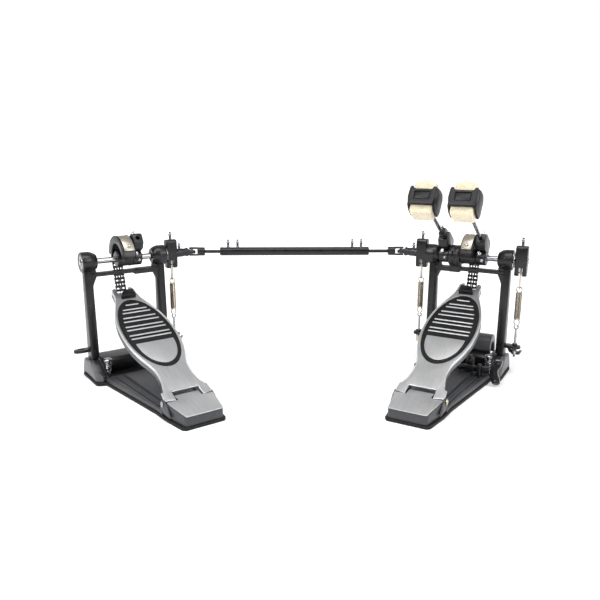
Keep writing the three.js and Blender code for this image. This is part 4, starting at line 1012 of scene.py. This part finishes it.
# ------------------------------------------------------------------ spurs
def spurs(side):
    for k, n in ((-1, "spur_l"), (1, "spur_r")):
        nm = side + "_" + n
        x = k * 52.5
        prof = [(2.2, 0), (8, 3.4)]
        z = 9.0
        while z < 21:
            prof += [(z, 3.6), (z + 0.45, 3.15), (z + 0.9, 3.6)]; z += 0.95
        prof += [(36.2, 3.4), (36.6, 6.2), (37.4, 7.0), (38.6, 7.0), (40.2, 5.6), (41, 3.0), (41.2, 0)]
        put(lathe(prof, 32, "Z", (x, -34, 0)), nm + "_screw", "chrome", side, nm, [nm])
        put(coil(x, -34, 16.0, 35.6, 5.3, 0.75, 6, 20, 6), nm + "_coil", "chrome", side, nm)


# ------------------------------------------------------------------ beaters
def felt_piece(nm, x, body, rep):
    p = []
    R = 31.2
    for i in range(33):
        a = math.radians(-38 + 76 * i / 32)
        p.append((math.sin(a) / math.sin(math.radians(38)) * 17.9, ROD_S + math.cos(a) * R))
    p += [(18.0, ROD_S - 23), (16.4, ROD_S - 28), (-16.4, ROD_S - 28), (-18.0, ROD_S - 23)]
    p = fillet(p, [1.2] + [0] * 31 + [1.2, 3, 3.5, 3.5, 3], n=4)
    bm = prism(p, 148.4, 177.6, bevel=3.2, seg=5)
    # even facets, so that the pressed surface can be worked
    bmesh.ops.triangulate(bm, faces=[f for f in bm.faces if len(f.verts) > 4])
    me = bpy.data.meshes.new("t"); bm.to_mesh(me); bm.free()
    ob = bpy.data.objects.new("t", me); bpy.context.scene.collection.objects.link(ob)
    md = ob.modifiers.new("r", "REMESH"); md.mode = "VOXEL"; md.voxel_size = 1.1
    me2 = bpy.data.meshes.new_from_object(ob.evaluated_get(bpy.context.evaluated_depsgraph_get()))
    bpy.data.objects.remove(ob); bpy.data.meshes.remove(me)
    out = new(); out.from_mesh(me2); bpy.data.meshes.remove(me2)
    bmesh.ops.smooth_vert(out, verts=out.verts[:], factor=0.5, use_axis_x=True, use_axis_y=True, use_axis_z=True)
    bmesh.ops.smooth_vert(out, verts=out.verts[:], factor=0.5, use_axis_x=True, use_axis_y=True, use_axis_z=True)
    out.normal_update()
    off = Vector((3.7 * (1 if nm.startswith("m") else -2), 1.3, 0))
    for v in out.verts:
        c = v.co + off
        d = 0.34 * noise.noise(c * 0.16) + 0.16 * noise.noise(c * 0.6) + 0.07 * noise.noise(c * 1.7)
        v.co += v.normal * (d - 0.15)
    ob = put(out, nm, "felt", "right", body, rep, RODM(x), sharp=75)
    return ob


def beater(n, x, body):
    rd = lathe([(-20, 0), (-20, 2.4), (-19.2, 3.15), (169, 3.15), (170, 2.4), (170, 0)], 36, "Z", (0, ROD_S, 0))
    put(rd, n + "_beater_shaft", "chrome", "right", body, [n + "_beater_rod"], RODM(x))
    # core: end cap with a window, curved cheeks, lower collar
    cap = fillet([(-20.2, ROD_S - 14.8), (20.2, ROD_S - 14.8), (22.6, ROD_S - 2), (22.0, ROD_S + 12.5), (20.6, ROD_S + 16.2), (16.6, ROD_S + 16.0), (15.2, ROD_S + 11.6), (-15.2, ROD_S + 11.6), (-16.6, ROD_S + 16.0), (-20.6, ROD_S + 16.2), (-22.0, ROD_S + 12.5), (-22.6, ROD_S - 2)],
                 [2.5, 2.5, 6, 3, 1.8, 1.6, 2.2, 2.2, 1.6, 1.8, 3, 6], n=4)
    win = fillet([(-12.5, ROD_S - 6.5), (12.5, ROD_S - 6.5), (12.5, ROD_S + 7.5), (-12.5, ROD_S + 7.5)], 1.4, n=4)
    c = prism(cap, 179.2, 184, bevel=0.9, seg=3, holes=[win])
    join(c, prism(cap, 177.9, 181.6, bevel=0.3, seg=1))
    join(c, prism(fillet([(-11.6, ROD_S - 5.6), (11.6, ROD_S - 5.6), (11.6, ROD_S + 6.6), (-11.6, ROD_S + 6.6)], 1.0, n=3), 181.4, 182.5, bevel=0.3, seg=2))
    ck = fillet([(ROD_S - 22, 151), (ROD_S - 13, 145.4), (ROD_S + 12, 145.4), (ROD_S + 19.5, 152), (ROD_S + 19, 167), (ROD_S + 15.4, 179.6), (ROD_S - 14.6, 179.6), (ROD_S - 20.4, 168)], [5, 6, 6, 7, 8, 2, 2, 8], n=5)
    ch = prismX(ck, 18.5, 22.4, bevel=1.5, seg=4)
    # a raised rim round each cheek
    inner = [((p[0] - ROD_S) * 0.66 + ROD_S, (p[1] - 162.5) * 0.66 + 162.5) for p in ck]
    ch = prismX(ck, 18.5, 22.5, bevel=1.2, seg=3)
    join(ch, prismX(inner, 19.5, 23.0, bevel=0.8, seg=2))
    join(c, both(ch))
    join(c, box(-19.6, 19.6, ROD_S - 6.5, ROD_S + 6.5, 143.6, 147.6, bevel=1.2))
    join(c, lathe([(137.6, 3.3), (137.6, 5.6), (138.6, 6.6), (144, 7.2), (147, 7.2), (147, 3.3), (137.6, 3.3)], 40, "Z", (0, ROD_S, 0), r=0.4))
    put(c, n + "_beater_body", "plastic", "right", body, [n + "_beater_core"], RODM(x), sharp=34)
    sc = moved(pan_screw(2.2, 1.6), RODM(0) @ Matrix.Translation((0, ROD_S - 6.4, 141.6)) @ Matrix.Rotation(math.pi / 2, 4, "X"))
    put(sc, n + "_beater_set_screw", "chrome", "right", body, (), Matrix.Translation((x, 0, 0)))
    felt_piece(n + "_beater_pad", x, body, [n + "_beater_felt"])


# ------------------------------------------------------------------ hoop clamp
def hoop_clamp():
    prof = fillet([(-4, 38), (-2, 48), (3, 56), (11, 61), (20, 62.5), (30, 60), (38, 53), (42.5, 44), (44, 33), (44, 24), (39, 24), (37, 36), (31, 45), (22, 50), (12, 47), (8, 38), (12, 27), (8, 22.5), (3, 25)],
                  [2, 8, 12, 12, 14, 12, 12, 12, 8, 1.5, 1.5, 8, 10, 10, 6, 4, 3, 2, 2], n=4)
    j = prismX(prof, -46, 46, bevel=1.4, seg=3)
    put(j, "hoop_jaw_hood", "foot", "right", "hoop_jaw", ["hoop_jaw"])
    put(rod((-49.6, 8, 27), (49.6, 8, 27), 2.2, 20), "hoop_jaw_pin", "steel", "right", "hoop_jaw")
    # screw bearing on the base
    br = prismX(fillet([(-81, 10.5), (-64, 10.5), (-64, 30), (-68, 34), (-77, 34), (-81, 30)], [0.5, 0.5, 3, 2, 2, 3], n=4), 44, 50, bevel=0.9, seg=3)
    br = boolean(br, [rod((40, SCREW_Y, SCREW_Z), (56, SCREW_Y, SCREW_Z), 4.35, 28, 0)])
    put(br, "hoop_screw_bearing", "black", "right", "right_frame", sharp=34)
    prof = [(12, 0), (12, 5.4), (12.8, 6.2), (15.6, 6.2), (16.4, 5.4), (16.8, 4.6), (19, 4.6), (19.6, 5.3), (41.2, 5.3), (42, 4.0),
            (43.6, 4.0), (51, 4.0), (51.4, 5.4), (52.2, 6.0), (58, 6.4), (61, 7.2), (65, 7.4), (66, 6.4), (66, 0)]
    put(lathe(prof, 32, "X", (0, SCREW_Y, SCREW_Z)), "hoop_screw_spindle", "gloss", "right", "hoop_clamp_screw")
    br = lathe([(16.4, 0), (16.4, 7.0), (17.2, 7.5), (38, 7.5), (39, 6.8), (39, 4.4), (42, 4.4), (43.4, 3.4), (43.4, 0)], 40, "Z", (27, SCREW_Y + 14.4, 0), r=0.4)
    put(br, "hoop_screw_barrel", "black", "right", "right_frame", sharp=34)
    lobe = [(60, 0), (60, 6), (65, 8), (68.5, 15), (71, 21), (76, 22.3), (82, 21.5), (84, 18), (82, 9), (79, 4), (78, 0)]
    w = lobe + [(a, -b) for a, b in reversed(lobe[1:-1])]
    w = w if area2(w) > 0 else w[::-1]
    wing = prism(fillet(w, 3.0, n=4), -3, 3, bevel=1.9, seg=4)
    # thickened rims of the two lobes
    for k in (1, -1):
        r_ = [(71, k * 15), (73, k * 20), (77, k * 20.6), (81.4, k * 19.6), (82, k * 16), (77, k * 13.5)]
        r_ = r_ if area2(r_) > 0 else r_[::-1]
        join(wing, prism(fillet(r_, 1.6, n=3), -3.9, 3.9, bevel=1.2, seg=3))
    tilt = Matrix.Translation((0, SCREW_Y, SCREW_Z)) @ Matrix.Rotation(math.radians(76), 4, "X")
    put(wing, "hoop_screw_wing", "gloss", "right", "hoop_clamp_screw", ["hoop_clamp_screw"], tilt)


# ------------------------------------------------------------------ drive shaft
def at(side, x):
    sx, sy, a = SIDES[side]
    a = math.radians(a)
    return sx + math.cos(a) * x, sy + math.sin(a) * x


def shaft():
    xa, ya = at("left", UJ_X); xb, _ = at("right", -UJ_X)
    y = ya
    t0, t1 = xa + 53.3, xb - 61
    tb = lathe([(t0, 3.75), (t0, 7.2), (t0 + 0.6, 7.8), (t1 - 0.6, 7.8), (t1, 7.2), (t1, 3.75), (t0, 3.75)], 56, "X", (0, y, Z))
    put(tb, "drive_tube", "black", None, "shaft", ["shaft_tube"])
    for i, x in enumerate((t0 + 15, t0 + 32.6, t1 - 31, t1 - 14.4)):
        put(moved(key_screw(15.0, 2.6, 3.6), Matrix.Translation((x, y, Z + 7.4))), "tube_screw_%d" % (i + 1), "chrome", None, "shaft")
    for nm, c, k, inner, body in (("left", xa, 1, t0 + 95, "shaft_inner"), ("right", xb, -1, t1 - 80, "shaft")):
        f = lathe([(-4.5, 0), (-4.5, 7.5), (-3.8, 8.2), (12, 8.2), (13, 7.9), (23.6, 7.9), (24.5, 7.0), (24.5, 0)], 48, "X")
        f = boolean(f, [box(-20, 11.6, -20, 20, -4.9, 4.9, bevel=0), box(-20, 10.4, 3.0, 20, -20, 20, bevel=0), box(-20, 10.4, -20, -3.0, -20, 20, bevel=0), rod((0, 0, -12), (0, 0, 12), 2.3, 20, 0)])
        soften(f, 0.45)
        L = abs(inner - c)
        join(f, moved(prism(fillet(hexa(3.3, math.pi / 6), 0.25, n=1), 20, L, bevel=0.3, seg=1), Matrix(((0, 0, 1, 0), (0, 1, 0, 0), (-1, 0, 0, 0), (0, 0, 0, 1)))))
        if k < 0:
            for v in f.verts: v.co.x = -v.co.x
            bmesh.ops.reverse_faces(f, faces=f.faces[:])
        put(f, nm + "_drive_fork", "steel", None, body, ["fork_" + nm], Matrix.Translation((c, y, Z)), sharp=34)
        cr = lathe([(-4.2, 0), (-4.2, 1.6), (-3.4, 3.6), (3.4, 3.6), (4.2, 1.6), (4.2, 0)], 32, "Z", r=0.4)
        join(cr, rod((0, 0, -7.0), (0, 0, 7.0), 1.9, 20))
        yaw = math.radians(SIDES[nm][2])
        d = Vector((-math.sin(yaw), math.cos(yaw), 0))
        join(cr, rod(d * -4.7, d * 4.7, 1.9, 20))
        put(cr, nm + "_joint_cross", "chrome", None, body, ["cross_" + nm], Matrix.Translation((c, y, Z)))


for side in ("left", "right"):
    footboard(side)
    base(side)
    posts(side)
    rotor(side)
    spurs(side)
    spring(1, side, side + "_spring", side + "_frame", side + "_spring", [side + "_spring"], side + "_eyebolt")
spring(-1, "right", "slave_spring", "right_frame", "slave_spring", ["slave_spring"], "slave_eyebolt")
beater("master", 20.5, "master_beater")
beater("slave", -44.8, "slave_beater")
hoop_clamp()
shaft()

# ------------------------------------------------------------------ floor, light, camera
fl = bmesh.new()
bmesh.ops.create_grid(fl, x_segments=2, y_segments=2, size=6.0)
me = bpy.data.meshes.new("floor"); fl.to_mesh(me); fl.free()
floor = bpy.data.objects.new("floor", me); bpy.context.scene.collection.objects.link(floor)
floor.location = (0, 0, -0.0002)
fm, nt, bs = nodes_of("floor_paper")
fac = noise_tex(nt, coords(nt), 3.0, 3)
link(nt, ramp(nt, fac, [(0.3, 0.93), (0.7, 0.95)]), bs.inputs["Base Color"])
bs.inputs["Roughness"].default_value = 0.75
bs.inputs["Specular IOR Level"].default_value = 0.2
bs.inputs["Emission Color"].default_value = (1, 1, 1, 1)
far = nt.nodes.new("ShaderNodeVectorMath"); far.operation = "LENGTH"
link(nt, coords(nt), far.inputs[0])
mr = nt.nodes.new("ShaderNodeMapRange"); mr.inputs["From Min"].default_value = 0.55; mr.inputs["From Max"].default_value = 1.5
mr.inputs["To Min"].default_value = 0.16; mr.inputs["To Max"].default_value = 0.75
link(nt, far.outputs["Value"], mr.inputs["Value"]); link(nt, mr.outputs["Result"], bs.inputs["Emission Strength"])
me.materials.append(fm)
floor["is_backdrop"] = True

w = bpy.data.worlds.new("studio"); bpy.context.scene.world = w; w.use_nodes = True
wn = w.node_tree
bg = wn.nodes["Background"]
tc = wn.nodes.new("ShaderNodeTexCoord"); sep = wn.nodes.new("ShaderNodeSeparateXYZ")
wn.links.new(tc.outputs["Generated"], sep.inputs["Vector"])
cr = wn.nodes.new("ShaderNodeValToRGB")
def world_ramp(node, stops):
    el = node.color_ramp.elements
    while len(el) < len(stops):
        el.new(0.5)
    for e, (p, c) in zip(el, stops):
        e.position = p; e.color = (c, c, c, 1)


world_ramp(cr, ((0.0, 0.9), (0.49, 1.0), (0.60, 1.0), (0.72, 0.80), (0.92, 0.42), (1.0, 0.45)))
ad = wn.nodes.new("ShaderNodeMath"); ad.operation = "MULTIPLY_ADD"; ad.inputs[1].default_value = 0.5; ad.inputs[2].default_value = 0.5
wn.links.new(sep.outputs["Z"], ad.inputs[0]); wn.links.new(ad.outputs[0], cr.inputs["Fac"])
ay = wn.nodes.new("ShaderNodeMath"); ay.operation = "MULTIPLY_ADD"; ay.inputs[1].default_value = 0.5; ay.inputs[2].default_value = 0.5
cy = wn.nodes.new("ShaderNodeValToRGB")
world_ramp(cy, ((0.0, 0.10), (0.28, 0.18), (0.52, 0.62), (0.72, 1.0)))
wn.links.new(sep.outputs["Y"], ay.inputs[0]); wn.links.new(ay.outputs[0], cy.inputs["Fac"])
mx = wn.nodes.new("ShaderNodeMix"); mx.data_type = "RGBA"; mx.blend_type = "MULTIPLY"; mx.inputs[0].default_value = 1.0
wn.links.new(cr.outputs["Color"], mx.inputs[6]); wn.links.new(cy.outputs["Color"], mx.inputs[7])
lp = wn.nodes.new("ShaderNodeLightPath"); mw = wn.nodes.new("ShaderNodeMix"); mw.data_type = "RGBA"
mw.inputs[7].default_value = (1.0, 1.0, 1.0, 1.0)
wn.links.new(lp.outputs["Is Camera Ray"], mw.inputs[0]); wn.links.new(mx.outputs[2], mw.inputs[6])
wn.links.new(mw.outputs[2], bg.inputs["Color"])
bg.inputs["Strength"].default_value = 1.0


def area(name, loc, target, size, power, col=(1, 1, 1)):
    L = bpy.data.lights.new(name, "AREA"); L.shape = "RECTANGLE"; L.size = size[0]; L.size_y = size[1]; L.energy = power; L.color = col
    o = bpy.data.objects.new(name, L); bpy.context.scene.collection.objects.link(o)
    o.location = loc
    o.rotation_euler = (Vector(target) - Vector(loc)).to_track_quat("-Z", "Y").to_euler()
    return o


area("key", (-1.5, -1.3, 1.9), (0, 0, 0.1), (1.3, 1.0), 42)
area("fill", (1.7, -1.1, 1.4), (0, 0, 0.1), (1.2, 1.2), 24)
area("top", (0.0, -0.5, 2.4), (0, 0, 0.05), (2.4, 0.9), 36)

cam = bpy.data.cameras.new("camera"); co = bpy.data.objects.new("camera", cam); bpy.context.scene.collection.objects.link(co)
cam.sensor_width = 36.0
cam.lens = 623.54 / 600 * 36.0
cam.shift_x = -1.0 / 600; cam.shift_y = -1.0 / 600
cam.clip_start = 0.05
co.location = ((-19.241 - ORIGIN[0]) / 1000, (-1087.18 - ORIGIN[1]) / 1000, 0.39129)
pitch, yaw = 0.23606660, math.radians(-1.0139)
fwd = Matrix.Rotation(yaw, 3, "Z") @ Vector((0, math.cos(pitch), -math.sin(pitch)))
co.rotation_euler = fwd.to_track_quat("-Z", "Y").to_euler()
bpy.context.scene.camera = co
bpy.context.scene.view_settings.view_transform = "Standard"

lst = lambda b: [[float(v) for v in c] for c in b]
{"cad": lst(CAD_BOX), "visual": lst(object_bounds())}
